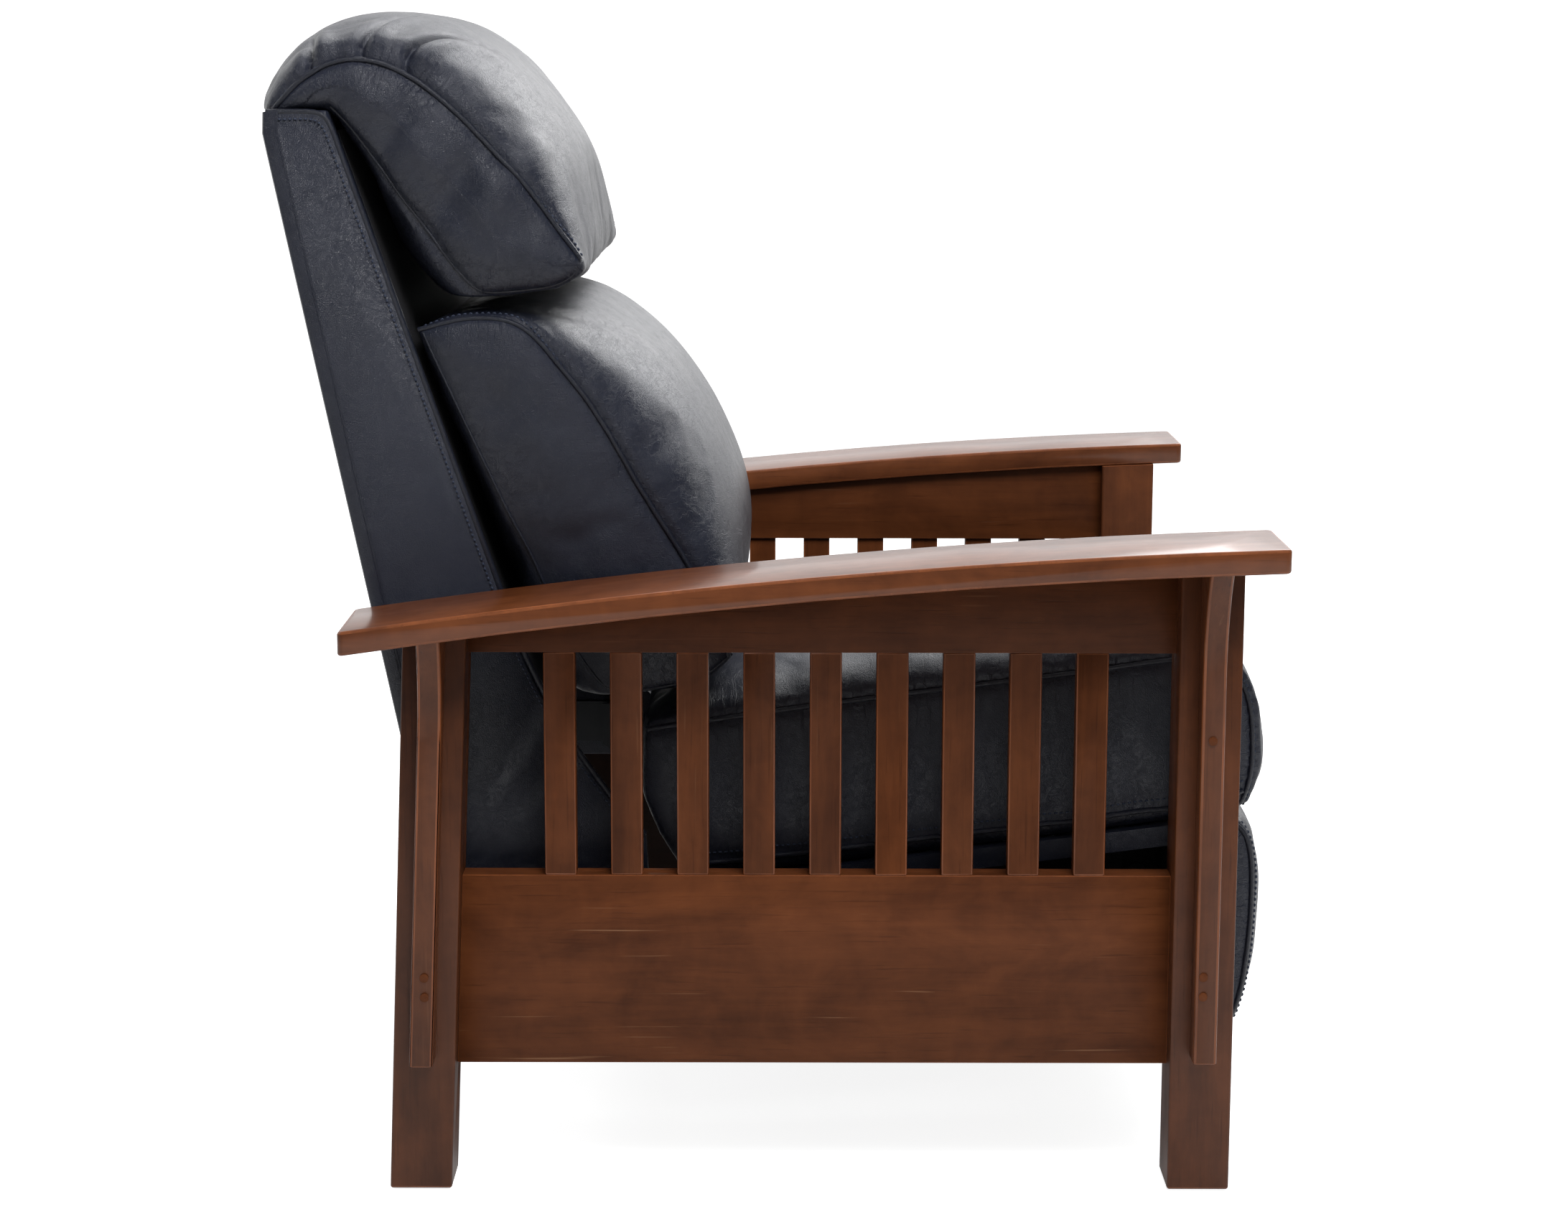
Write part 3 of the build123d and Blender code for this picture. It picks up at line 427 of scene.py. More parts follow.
def new_material(name):
    """A material with its object coordinates, surface shader and bump node."""
    material = bpy.data.materials.new(name)
    material.use_nodes = True
    tree = material.node_tree
    shader = tree.nodes["Principled BSDF"]
    place = tree.nodes.new("ShaderNodeTexCoord").outputs["Object"]
    bump = tree.nodes.new("ShaderNodeBump")
    tree.links.new(bump.outputs["Normal"], shader.inputs["Normal"])
    return material, tree, shader, place, bump


def with_finish(tree, finish, place, shader, bump, **colours_in):
    """Place a finish's group in a material and link it to the shader and the bump node."""
    group = tree.nodes.new("ShaderNodeGroup")
    group.node_tree = bpy.data.node_groups[finish]
    tree.links.new(place, group.inputs["Vector"])
    for name, colour in colours_in.items():
        group.inputs[name].default_value = (*colour, 1)
    tree.links.new(group.outputs["Color"], shader.inputs["Base Color"])
    tree.links.new(group.outputs["Roughness"], shader.inputs["Roughness"])
    tree.links.new(group.outputs["Height"], bump.inputs["Height"])
    return group


def shaded(colour, shade):
    """A colour made darker or lighter."""
    return [value * shade for value in colour]


# How the grain's pattern turns to run along each axis
GRAIN_TURNS = {"x": (0, pi / 2, 0), "y": (pi / 2, 0, 0), "z": (0, 0, 0)}


def wood_material(name, axis, shift, scratches=0.3, shade=1.0, coat=0.0, gloss=0.12):
    """Stained wood with its grain along an axis. Each board is cut from its own place in the pattern."""
    material, tree, shader, place, bump = new_material(name)
    turned = add(tree, "ShaderNodeMapping", None, Vector=place, Location=(shift, 1.7 * shift, 0.6 * shift),
                 Rotation=GRAIN_TURNS[axis])
    tone = colours()
    group = with_finish(tree, "stained_grain", turned.outputs[0], shader, bump,
                        Deep=shaded(tone.wood_deep, shade), Bright=shaded(tone.wood_bright, shade),
                        Scratch=tone.wood_scratch)
    group.inputs["Scratches"].default_value = scratches
    bump.inputs["Strength"].default_value = 0.18 * (1 - 0.75 * coat)
    bump.inputs["Distance"].default_value = 0.0004
    shader.inputs["Specular IOR Level"].default_value = gloss
    shader.inputs["Coat Weight"].default_value = coat
    shader.inputs["Coat Roughness"].default_value = 0.17
    return material


def leather_material(name, shade=1.0):
    """Leather, with puckers where the mesh says that a seam is near."""
    material, tree, shader, place, bump = new_material(name)
    tone = colours()
    group = with_finish(tree, "leather_hide", place, shader, bump, Deep=shaded(tone.leather_deep, shade),
                        Worn=shaded(tone.leather_worn, shade))
    for label, attribute in (("Seam near", "seam_near"), ("Seam run", "seam_run")):
        read = add(tree, "ShaderNodeAttribute", {"attribute_name": attribute})
        tree.links.new(read.outputs["Fac"], group.inputs[label])
    bump.inputs["Strength"].default_value = 0.85
    bump.inputs["Distance"].default_value = 0.0007
    shader.inputs["Specular IOR Level"].default_value = 0.55
    return material


def plain_material(name, colour, roughness, metallic, grain):
    """Paint, nylon or thread: one colour with a faint mottle and fine bump of its own scale."""
    material, tree, shader, place, bump = new_material(name)
    mottle = noise(tree, place, grain, 4.0, 0.6)
    dark = (*[c * 0.72 for c in colour], 1)
    light = (*[min(1.0, c * 1.22) for c in colour], 1)
    tree.links.new(blend_colour(tree, mottle, dark, light), shader.inputs["Base Color"])
    tree.links.new(scaled(tree, mottle, 0.15, roughness - 0.07), shader.inputs["Roughness"])
    tree.links.new(noise(tree, place, grain * 12, 3.0, 0.6), bump.inputs["Height"])
    bump.inputs["Strength"].default_value = 0.12
    bump.inputs["Distance"].default_value = 0.0003
    shader.inputs["Metallic"].default_value = metallic
    return material


# Mesh helpers

def only(obj):
    """Select one object alone and make it active."""
    bpy.ops.object.select_all(action="DESELECT")
    obj.select_set(True)
    bpy.context.view_layer.objects.active = obj


def apply_modifier(obj, name, kind, **settings):
    """Add a modifier with its settings and apply it."""
    only(obj)
    modifier = obj.modifiers.new(name, kind)
    for key, value in settings.items():
        setattr(modifier, key, value)
    bpy.ops.object.modifier_apply(modifier=modifier.name)


def choose_faces(obj, chosen):
    """Select the faces that a test picks, and nothing else."""
    only(obj)
    bpy.ops.object.mode_set(mode="EDIT")
    bpy.ops.mesh.select_mode(type="FACE")
    bpy.ops.mesh.select_all(action="DESELECT")
    bpy.ops.object.mode_set(mode="OBJECT")
    for polygon in obj.data.polygons:
        polygon.select = bool(chosen(polygon))


def outward(obj):
    """Turn all the faces of a closed mesh outwards."""
    only(obj)
    bpy.ops.object.mode_set(mode="EDIT")
    bpy.ops.mesh.select_all(action="SELECT")
    bpy.ops.mesh.normals_make_consistent(inside=False)
    bpy.ops.object.mode_set(mode="OBJECT")


def mesh_object(name, places, faces):
    """A new object from its places and faces."""
    mesh = bpy.data.meshes.new(name)
    mesh.from_pydata([tuple(place) for place in places], [], faces)
    mesh.update()
    obj = bpy.data.objects.new(name, mesh)
    bpy.context.scene.collection.objects.link(obj)
    return obj


def shade_smooth(obj, angle=None):
    """Smooth shading, all over or up to an angle between faces."""
    only(obj)
    if angle is None:
        bpy.ops.object.shade_smooth()
    else:
        bpy.ops.object.shade_smooth_by_angle(angle=angle)


def joined(name, parts):
    """Several objects made into one."""
    bpy.ops.object.select_all(action="DESELECT")
    for part in parts:
        part.select_set(True)
    bpy.context.view_layer.objects.active = parts[0]
    bpy.ops.object.join()
    parts[0].name = name
    parts[0].data.name = name
    return parts[0]


def finished(obj, body, slot, material, *nodes):
    """Give a piece its material and the body it rides on, and hide the nodes it stands for. The slot is not
    used.
    """
    indexes = [polygon.material_index for polygon in obj.data.polygons]
    obj.data.materials.clear()
    obj.data.materials.append(material)
    obj.data.polygons.foreach_set("material_index", indexes)
    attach(obj, body)
    if nodes:
        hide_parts(*nodes)


# Woodwork

def eased_copy(node, width):
    """A copy of a CAD board with its corners merged and its edges rounded."""
    source = frame["nodes"][node]
    bpy.ops.object.select_all(action="DESELECT")
    copy = bpy.data.objects.new("wood_" + node, source.data.copy())
    bpy.context.scene.collection.objects.link(copy)
    only(copy)
    bpy.ops.object.mode_set(mode="EDIT")
    bpy.ops.mesh.select_all(action="SELECT")
    bpy.ops.mesh.remove_doubles(threshold=0.00001)
    bpy.ops.mesh.dissolve_limited(angle_limit=radians(0.5))
    bpy.ops.object.mode_set(mode="OBJECT")
    copy.data.materials.append(None)
    apply_modifier(copy, "eased", "BEVEL", width=width, segments=2, limit_method="ANGLE",
                   angle_limit=radians(28), harden_normals=True, material=1)
    shade_smooth(copy, radians(30))
    return copy


def raised_foot(obj, lift):
    """Bring the foot of a corbel up, as on the real chair."""
    places = coordinates(obj)
    foot = places[:, 2].min()
    places[places[:, 2] < foot + 0.004, 2] += lift
    set_coordinates(obj, places)


def worn_edges_and_painted_light(obj, material, node, side):
    """Give a board its own grain, lighter wood along its edges as wear and a painted highlight, and, on an
    apron, a dark inner face of painted shade.
    """
    finished(obj, "frame", "wood", material, node)
    # Lighter wood along the eased edges: wear, and a painted highlight on the rounded edges
    obj.data.materials.append(bpy.data.materials["rubbed_edge"])
    # The aprons' inner faces get near-black wood: painted shade for the shadowed space under the seat
    if node.startswith("apron"):
        obj.data.materials.append(bpy.data.materials["inner_face_stain"])
        for polygon in obj.data.polygons:
            if polygon.normal.x * side < -0.9:
                polygon.material_index = 2


# The boards of a side frame: name, grain axis, scratches, brightness of the stain, coat, gloss.
# The brightness is set board by board and paints light and shade: lowest on the upper rail in the arm's
# shadow and on the rear leg
WOOD_BOARDS = [
    ("arm", "y", 0.3, 1.05, 0.58, 0.12), ("upper_rail", "y", 0.2, 0.68, 0.0, 0.12),
    ("apron", "y", 0.7, 0.98, 0.0, 0.14), ("front_leg", "z", 0.2, 0.82, 0.05, 0.3),
    ("rear_leg", "z", 0.2, 0.66, 0.05, 0.3), ("front_corbel", "z", 0.3, 0.86, 0.05, 0.3),
    ("rear_corbel", "z", 0.3, 0.86, 0.05, 0.3), ("slats", "z", 0.15, 0.84, 0.0, 0.12),
]


# Finishes of one colour: name, colour property, roughness, metallic, and scale of the mottle
PLAIN_FINISHES = [
    ("navy_thread", "thread", 0.6, 0.0, 900.0), ("back_lining", "lining", 0.85, 0.0, 500.0),
    ("painted_steel", "steel", 0.42, 0.6, 60.0), ("glide_nylon", "nylon", 0.5, 0.0, 150.0),
    # The last finish is painted shade for the framing timber
    ("black_timber", "black_timber", 0.7, 0.0, 200.0),
]


class RECLINER_OT_finishes(bpy.types.Operator):
    """Build the shader groups and finish the CAD pieces that stay visible"""

    bl_idname = "recliner.finishes"
    bl_label = "Finishes"

    def execute(self, context):
        stained_grain()
        leather_hide()
        tone = colours()
        leather_material("navy_leather")
        leather_material("piping_leather", 0.72)
        for name, colour, roughness, metallic, grain in PLAIN_FINISHES:
            plain_material(name, getattr(tone, colour), roughness, metallic, grain)
        by_slot = {"steel": "painted_steel", "nylon": "glide_nylon", "lining": "back_lining",
                   "inner_wood": "frame_timber"}
        timber = wood_material("frame_timber", "x", 3.1, 0.2)
        group = next(n for n in timber.node_tree.nodes if n.type == "GROUP")
        group.inputs["Deep"].default_value = (*shaded(tone.inner_wood, 0.6), 1)
        group.inputs["Bright"].default_value = (*tone.inner_wood, 1)
        group.inputs["Scratch"].default_value = (*tone.inner_wood, 1)
        slots = {row["node"]: row["material_slot"] for row in frame["record"]["subparts"]}
        for number, (node, obj) in enumerate(sorted(frame["nodes"].items())):
            # Framing timber, but for the corner blocks, gets the near black of painted shade
            if slots[node] == "inner_wood" and node != "corner_blocks":
                material = bpy.data.materials["black_timber"]
            elif slots[node] in by_slot:
                material = bpy.data.materials[by_slot[slots[node]]]
            elif slots[node] == "leather":
                material = bpy.data.materials["navy_leather"]
            else:
                material = wood_material("stained_" + node, "x", 0.37 * number, 0.3, 0.85)
            obj.data.materials.clear()
            obj.data.materials.append(material)
        return {"FINISHED"}


class RECLINER_OT_woodwork(bpy.types.Operator):
    """Ease the edges of the boards of the two side frames and set the screw plugs"""

    bl_idname = "recliner.woodwork"
    bl_label = "Woodwork"

    def execute(self, context):
        # Lighter, glossier wood for the eased edges: partly wear, partly a painted highlight
        wood_material("rubbed_edge", "z", 5.5, 0.2, 1.6, 0.2, 0.3)
        # Near-black wood for the aprons' inner faces: painted shade
        wood_material("inner_face_stain", "y", 7.5, 0.0, 0.1)
        count = 0
        for side, sign in SIDES:
            for board, axis, scratches, shade, coat, gloss in WOOD_BOARDS:
                node = f"{board}_{side}"
                count += 1
                material = wood_material(f"oak_stain_{node}", axis, 0.83 * count, scratches, shade, coat,
                                         gloss)
                copy = eased_copy(node, sizes().eased_edge)
                if board in FOOT_LIFTS:
                    raised_foot(copy, FOOT_LIFTS[board])
                worn_edges_and_painted_light(copy, material, node, sign)
            self.plugs(side, sign)
        # The stretchers' stain is darkened to 0.3: painted shade, as they lie under the seat
        for count, node in enumerate(("front_stretcher", "rear_stretcher")):
            material = wood_material(f"oak_stain_{node}", "x", 20 + count, 0.2, 0.3)
            worn_edges_and_painted_light(eased_copy(node, sizes().eased_edge), material, node, 0)
        return {"FINISHED"}

    def plugs(self, side, sign):
        """Small turned plugs over the screws, domed and a hair proud of the corbels."""
        radius = sizes().plug_radius
        face_x = sign * frame_reach()
        parts = []
        for y, z in metres(PLUG_PLACES):
            bpy.ops.object.select_all(action="DESELECT")
            bpy.ops.mesh.primitive_cylinder_add(vertices=24, radius=radius, depth=0.0024,
                                                location=(face_x, y, z), rotation=(0, sign * pi / 2, 0))
            plug = bpy.context.active_object
            bpy.ops.object.transform_apply(location=True, rotation=True, scale=True)
            choose_faces(plug, lambda face: face.normal.x * sign > 0.9)
            bpy.ops.object.mode_set(mode="EDIT")
            bpy.ops.mesh.inset(thickness=radius * 0.35, depth=0.0004)
            bpy.ops.object.mode_set(mode="OBJECT")
            parts.append(plug)
        plugs = joined(f"screw_plugs_{side}", parts)
        shade_smooth(plugs, radians(30))
        finished(plugs, "frame", "wood", wood_material(f"plug_stain_{side}", "x", 9.0 + sign, 0.2, 0.9))


def frame_reach():
    """Outer face of the corbels' straight run from the middle of the chair."""
    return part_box("front_leg_right")[1].x + 0.025


# Upholstery

def run_lengths(line):
    """How far along a polyline each of its places lies."""
    return np.concatenate([[0], np.cumsum(np.linalg.norm(np.diff(line, axis=0), axis=1))])


def even(points, count, rounds=3):
    """A run of places taken at even spacing along a polyline, softened between its ends."""
    line = np.array(points, float)
    length = run_lengths(line)
    at = np.linspace(0, length[-1], count)
    spaced = np.stack([np.interp(at, length, values) for values in line.T], axis=1)
    for _ in range(rounds):
        spaced[1:-1] = (spaced[:-2] + 2 * spaced[1:-1] + spaced[2:]) / 4
    return spaced


def loop_of(runs, counts):
    """A closed loop of places from its runs, each evenly spaced."""
    return np.concatenate([even(run, count + 1)[:-1] for run, count in zip(runs, counts)]) / 1000


def ring_faces(rings, count, base=0):
    """Faces between rings of places that follow each other."""
    faces = []
    for ring in range(rings - 1):
        for k in range(count):
            a, b = base + ring * count + k, base + ring * count + (k + 1) % count
            faces.append((a, b, b + count, a + count))
    return faces


def closed_tube(rings, count, base=0):
    """Faces between rings of places, and one face over each end."""
    last = base + (rings - 1) * count
    ends = [tuple(range(base + count - 1, base - 1, -1)), tuple(range(last, last + count))]
    return ring_faces(rings, count, base) + ends


def crown_share(share, fullness):
    """How far the cover has swelled from its side seam towards its full crown."""
    return (1 - abs(share) ** (2 + fullness)) ** (0.8 - 0.3 * fullness)


def stuffed_shell(name, piping, crown, counts, half_width, fullness):
    """A closed shell: the side loop at each end, swelling to the crown loop in the middle."""
    side, middle = loop_of(piping, counts), loop_of(crown, counts)
    shares = [sin(pi / 2 * k / 20) for k in range(-20, 21)]
    places = []
    for share in shares:
        swell = crown_share(share, fullness)
        ring = side * (1 - swell) + middle * swell
        places += [(half_width * share, y, z) for y, z in ring]
    shell = mesh_object(name, places, closed_tube(len(shares), len(side)))
    outward(shell)
    return shell, side


def coordinates(obj):
    """The places of a mesh's vertices."""
    flat = np.empty(len(obj.data.vertices) * 3)
    obj.data.vertices.foreach_get("co", flat)
    return flat.reshape(-1, 3)


def set_coordinates(obj, places):
    """Move a mesh's vertices to new places."""
    obj.data.vertices.foreach_set("co", places.ravel())
    obj.data.update()


def distance_to_loop(yz, loop):
    """Distance of each place to a closed loop in the side view, and the nearest place on it."""
    best = np.full(len(yz), 1e9)
    nearest = np.zeros_like(yz)
    for start, end in zip(loop, np.roll(loop, -1, axis=0)):
        run = end - start
        along = np.clip(((yz - start) @ run) / max(run @ run, 1e-12), 0, 1)
        foot = start + along[:, None] * run
        gap = np.linalg.norm(yz - foot, axis=1)
        closer = gap < best
        best[closer] = gap[closer]
        nearest[closer] = foot[closer]
    return best, nearest


def inside_loop(yz, loop):
    """Which places lie inside a closed loop in the side view."""
    crossed = np.zeros(len(yz), bool)
    for (y1, z1), (y2, z2) in zip(loop, np.roll(loop, -1, axis=0)):
        between = (z1 > yz[:, 1]) != (z2 > yz[:, 1])
        at = (y2 - y1) * (yz[:, 1] - z1) / ((z2 - z1) if z2 != z1 else 1e-9) + y1
        crossed ^= between & (yz[:, 0] < at)
    return crossed


def spread_out(obj, field, times):
    """A field over the vertices, averaged many times with its neighbours."""
    edges = np.empty(len(obj.data.edges) * 2, int)
    obj.data.edges.foreach_get("vertices", edges)
    edges = edges.reshape(-1, 2)
    count = np.bincount(edges.ravel(), minlength=len(field))[:, None]
    for _ in range(times):
        total = np.zeros_like(field)
        for axis in range(3):
            total[:, axis] = (np.bincount(edges[:, 0], field[edges[:, 1], axis], len(field))
                              + np.bincount(edges[:, 1], field[edges[:, 0], axis], len(field)))
        field = 0.5 * field + 0.5 * total / np.maximum(count, 1)
    return field


def puffed(obj, side, half_width, swell, settle, rooms):
    """Voxel remesh, swell the side panels, and let the cover settle under its filling."""
    apply_modifier(obj, "grid", "REMESH", mode="VOXEL", voxel_size=sizes().voxel)
    places = coordinates(obj)
    seam_gap, _ = distance_to_loop(places[:, 1:], side)
    on_panel = np.abs(places[:, 0]) > half_width - 0.002
    bulge = swell * (1 - np.exp(-seam_gap / 0.03)) * on_panel
    places[:, 0] += np.sign(places[:, 0]) * bulge
    set_coordinates(obj, places)
    near_seam = (seam_gap < PINNED_BAND) & (np.abs(np.abs(places[:, 0]) - half_width) < PINNED_BAND)
    settled(obj, places, near_seam, settle)
    apply_modifier(obj, "relax", "SMOOTH", factor=0.5, iterations=4)
    keep_clear(obj, rooms)
    apply_modifier(obj, "fair", "SUBSURF", levels=1, render_levels=1)


def settled(obj, start, pinned, reach):
    """Let a cover settle as cloth under its filling, by no more than its reach."""
    size = sizes()
    pins = obj.vertex_groups.new(name="seam")
    pins.add([int(i) for i in np.nonzero(pinned)[0]], 1.0, "REPLACE")
    only(obj)
    cloth = obj.modifiers.new("settle", "CLOTH")
    for key, value in CLOTH.items():
        setattr(cloth.settings, key, value)
    cloth.settings.uniform_pressure_force = size.pressure
    cloth.settings.effector_weights.gravity = 0
    cloth.settings.vertex_group_mass = "seam"
    cloth.collision_settings.use_collision = False
    cloth.point_cache.frame_start = 1
    cloth.point_cache.frame_end = size.frames
    for number in range(1, size.frames + 1):
        bpy.context.scene.frame_set(number)
    bpy.ops.object.modifier_apply(modifier="settle")
    bpy.context.scene.frame_set(1)
    moved = coordinates(obj) - start
    broad = spread_out(obj, moved, 60)
    moved = broad * FORM_KEPT + (moved - broad) * WRINKLES_KEPT
    far = np.linalg.norm(moved, axis=1)
    kept = reach * np.tanh(far / reach) / np.maximum(far, 1e-9)
    set_coordinates(obj, start + moved * kept[:, None])
    obj.vertex_groups.clear()


def keep_clear(obj, rooms):
    """Push the cover out of the room that a neighbour takes in the side view."""
    places = coordinates(obj)
    for room in rooms:
        loop = np.array(metres(room))
        held = inside_loop(places[:, 1:], loop)
        if held.any():
            _, nearest = distance_to_loop(places[held, 1:], loop)
            places[held, 1:] = nearest
    set_coordinates(obj, places)


def seam_groove(obj, seam, depth):
    """Draw the cover in along a line of places."""
    tree = KDTree(len(seam))
    for number, place in enumerate(seam):
        tree.insert(Vector(place), number)
    tree.balance()
    places = coordinates(obj)
    normals = np.array([v.normal for v in obj.data.vertices])
    gaps = np.array([tree.find(Vector(place))[2] for place in places])
    places -= normals * (depth * np.exp(-(gaps / GROOVE_REACH) ** 2))[:, None]
    set_coordinates(obj, places)


def surface_of(obj):
    """A search tree of a mesh's surface."""
    shape = bmesh.new()
    shape.from_mesh(obj.data)
    tree = BVHTree.FromBMesh(shape)
    shape.free()
    return tree


def smooth_path(points, step):
    """Places at an even step along a path in space."""
    length = run_lengths(np.array(points, float))[-1]
    return even(points, max(4, int(length / step)), rounds=4)


def welt(name, path, radius):
    """A round welt along a path, made a mesh."""
    curve = bpy.data.curves.new(name, "CURVE")
    curve.dimensions = "3D"
    curve.bevel_depth = radius
    curve.bevel_resolution = 3
    curve.use_fill_caps = True
    spline = curve.splines.new("POLY")
    spline.points.add(len(path) - 1)
    for point, place in zip(spline.points, path):
        point.co = (*place, 1)
    obj = bpy.data.objects.new(name, curve)
    bpy.context.scene.collection.objects.link(obj)
    only(obj)
    bpy.ops.object.convert(target="MESH")
    shade_smooth(bpy.context.active_object)
    return bpy.context.active_object


# Rings of a stitch: share of its length, share of its radius, and lift in radii
STITCH_RINGS = [(0.0, 0.35, -0.6), (0.15, 0.9, 0.1), (0.5, 1.0, 0.45), (0.85, 0.9, 0.1), (1.0, 0.35, -0.6)]


def stitches(name, path, normals):
    """Short thread stitches lying along a path."""
    places, faces = [], []
    for k in range(len(path) - 1):
        start, run = Vector(path[k]), Vector(path[k + 1]) - Vector(path[k])
        along = run.normalized()
        up = Vector(normals[k]).normalized()
        across = along.cross(up).normalized()
        base = len(places)
        for done, fat, lift in STITCH_RINGS:
            middle = start + run * STITCH_SHARE * done + up * STITCH_RADIUS * lift
            for turn in range(6):
                angle = pi / 3 * turn
                offset = (across * cos(angle) + up * sin(angle)) * STITCH_RADIUS * fat
                places.append(middle + offset)
        faces += closed_tube(len(STITCH_RINGS), 6, base)
    obj = mesh_object(name, places, faces)
    outward(obj)
    shade_smooth(obj)
    return obj


def trim(name, cover, path, body, inset):
    """Welt along a seam of a cover, and a row of topstitching beside it."""
    size = sizes()
    tree = surface_of(cover)
    line, rows, normals = [], [], []
    even_path = smooth_path(path, size.stitch_pitch)
    for place in even_path:
        foot, normal, _, _ = tree.find_nearest(Vector(place))
        line.append(foot + normal * size.piping_radius * 0.25)
    welts = welt(name + "_welt", smooth_path(line, size.stitch_pitch), size.piping_radius)
    for place, shift in zip(even_path, inset(even_path)):
        foot, normal, _, _ = tree.find_nearest(Vector(place) + Vector(shift) * size.stitch_inset)
        rows.append(foot)
        normals.append(normal)
    rows = smooth_path(rows, size.stitch_pitch)
    seated, facing = [], []
    for place in rows:
        foot, normal, _, _ = tree.find_nearest(Vector(place))
        seated.append(foot)
        facing.append(normal)
    thread = stitches(name + "_stitches", seated, facing)
    finished(welts, body, "leather", bpy.data.materials["piping_leather"])
    finished(thread, body, "leather", bpy.data.materials["navy_thread"])


def towards_middle(sign):
    """Direction of the topstitching: in from the side seam, over the crown."""
    return lambda path: [(-sign, 0, 0)] * len(path)


def stuffed(node, piping, crown, counts, half_width, rooms, swell, settle, seam_runs, groove=0.0,
            fullness=1.2):
    """Stuff a cover and draw it in along its seams. Gives the cover and the seams of both sides.

    The counts are the places along each run of the side loop. Swell is how far the side panels stand out,
    settle is how far the cloth may move, and seam_runs is how many of the runs have a seam.
    """
    cover, side = stuffed_shell(node + "_cover", piping, crown, counts, half_width, fullness)
    puffed(cover, side, half_width, swell, settle, rooms)
    seams = [side_path(piping[:seam_runs], half_width, sign) for _, sign in SIDES]
    if groove:
        for seam in seams:
            seam_groove(cover, seam, groove)
    return cover, seams


def pillow_trim(node, pillow, piping, half_width):
    """Welts and topstitching over a back pillow's side seams, and a thin welt along their rear part."""
    for side_name, sign in SIDES:
        front = side_path(piping[:1], half_width, sign)
        trim(f"{node}_{side_name}", pillow, front, "back", towards_middle(sign))
        seam_line(pillow, f"{node}_{side_name}_back_seam", side_path(piping[1:3], half_width, sign), "back")


def side_path(runs, half_width, sign):
    """A path in space along some runs of a side loop."""
    points = [point for run in runs for point in even(run, 60)]
    return [(sign * half_width, y / 1000, z / 1000) for y, z in points]


def mark_seams(obj, seams):
    """Keep on each vertex how near the closest seam is and how far along it, for the puckers."""
    tree, run = KDTree(sum(len(seam) for seam in seams)), []
    for seam in seams:
        for place, so_far in zip(seam, run_lengths(np.array(seam))):
            tree.insert(Vector(place), len(run))
            run.append(so_far)
    tree.balance()
    found = [tree.find(vertex.co) for vertex in obj.data.vertices]
    near = [exp(-(max(gap - 0.004, 0) / 0.022)) for _, _, gap in found]
    along = [run[index] for _, index, _ in found]
    for name, values in (("seam_near", near), ("seam_run", along)):
        obj.data.attributes.new(name, "FLOAT", "POINT").data.foreach_set("value", values)


def cover_up(obj, body, fill, seams, *nodes):
    """Smooth shading, seam marks and material of a padded piece, and hiding of the nodes it stands for. The
    fill is not used.
    """
    shade_smooth(obj)
    mark_seams(obj, seams)
    finished(obj, body, "leather", bpy.data.materials["navy_leather"], *nodes)


def denser(obj, chosen):
    """Split the faces whose middles are chosen, for finer shaping there."""
    choose_faces(obj, chosen)
    bpy.ops.object.mode_set(mode="EDIT")
    bpy.ops.mesh.subdivide(number_cuts=1, smoothness=0.3)
    bpy.ops.object.mode_set(mode="OBJECT")


def pleats(obj, places, half_width):
    """Short tucks that run from the side seam over the cover, deepest at the seam."""
    co = coordinates(obj)
    normals = np.array([v.normal for v in obj.data.vertices])
    for y, z, lean, reach in places:
        away = half_width - np.abs(co[:, 0])
        along = (co[:, 1] - y) - lean * away
        over = np.clip((co[:, 2] - z + 0.012) / 0.01, 0, 1) * np.clip((away - 0.001) / 0.006, 0, 1)
        fade = np.exp(-(np.clip(away, 0, None) / reach) ** 1.6) * over
        height = sum(rise * np.exp(-np.abs((along - middle) / wide) ** sharp)
                     for middle, wide, rise, sharp in TUCK_SECTION)
        co += normals * (height * fade)[:, None]
    set_coordinates(obj, co)


def dents(obj, places):
    """Soft dents and swellings of the cover: side-view place, reach towards the middle, radii, depth."""
    co = coordinates(obj)
    normals = np.array([v.normal for v in obj.data.vertices])
    for y, z, x, wide, high, turn, depth in places:
        dy, dz, dx = co[:, 1] - y, co[:, 2] - z, np.abs(co[:, 0]) - x
        across = dy * cos(turn) + dz * sin(turn)
        along = -dy * sin(turn) + dz * cos(turn)
        fade = np.exp(-(across / wide) ** 2 - (along / high) ** 2 - (dx / 0.03) ** 2)
        co -= normals * (depth * fade)[:, None]
    set_coordinates(obj, co)


def seam_line(cover, name, path, body):
    """A thin welt laid on a cover along a seam."""
    tree = surface_of(cover)
    line = [tree.find_nearest(Vector(place))[0] for place in smooth_path(path, BACK_SEAM_STEP)]
    edge = welt(name, smooth_path(line, BACK_SEAM_STEP), BACK_SEAM_RADIUS)
    finished(edge, body, "leather", bpy.data.materials["piping_leather"])


class RECLINER_OT_head_pillow(bpy.types.Operator):
    """Stuff the head pillow, with its tucks, welts and topstitching"""

    bl_idname = "recliner.head_pillow"
    bl_label = "Head pillow"

    def execute(self, context):
        half = sizes().half_width
        pillow, seams = stuffed("head_pillow", HEAD_PIPING, HEAD_CROWN, (60, 16, 32, 10), half,
                                [BACK_ROOM, UNDER_HEAD], swell=0.018, settle=0.014, seam_runs=3,
                                groove=0.0035)
        denser(pillow, lambda face: face.center.z > 0.975 and abs(face.center.x) > half - 0.13)
        pleats(pillow, HEAD_TUCKS, half)
        dents(pillow, HEAD_DENTS)
        cover_up(pillow, "back", 0.75, seams, "head_pillow")
        pillow_trim("head_pillow", pillow, HEAD_PIPING, half)
        return {"FINISHED"}


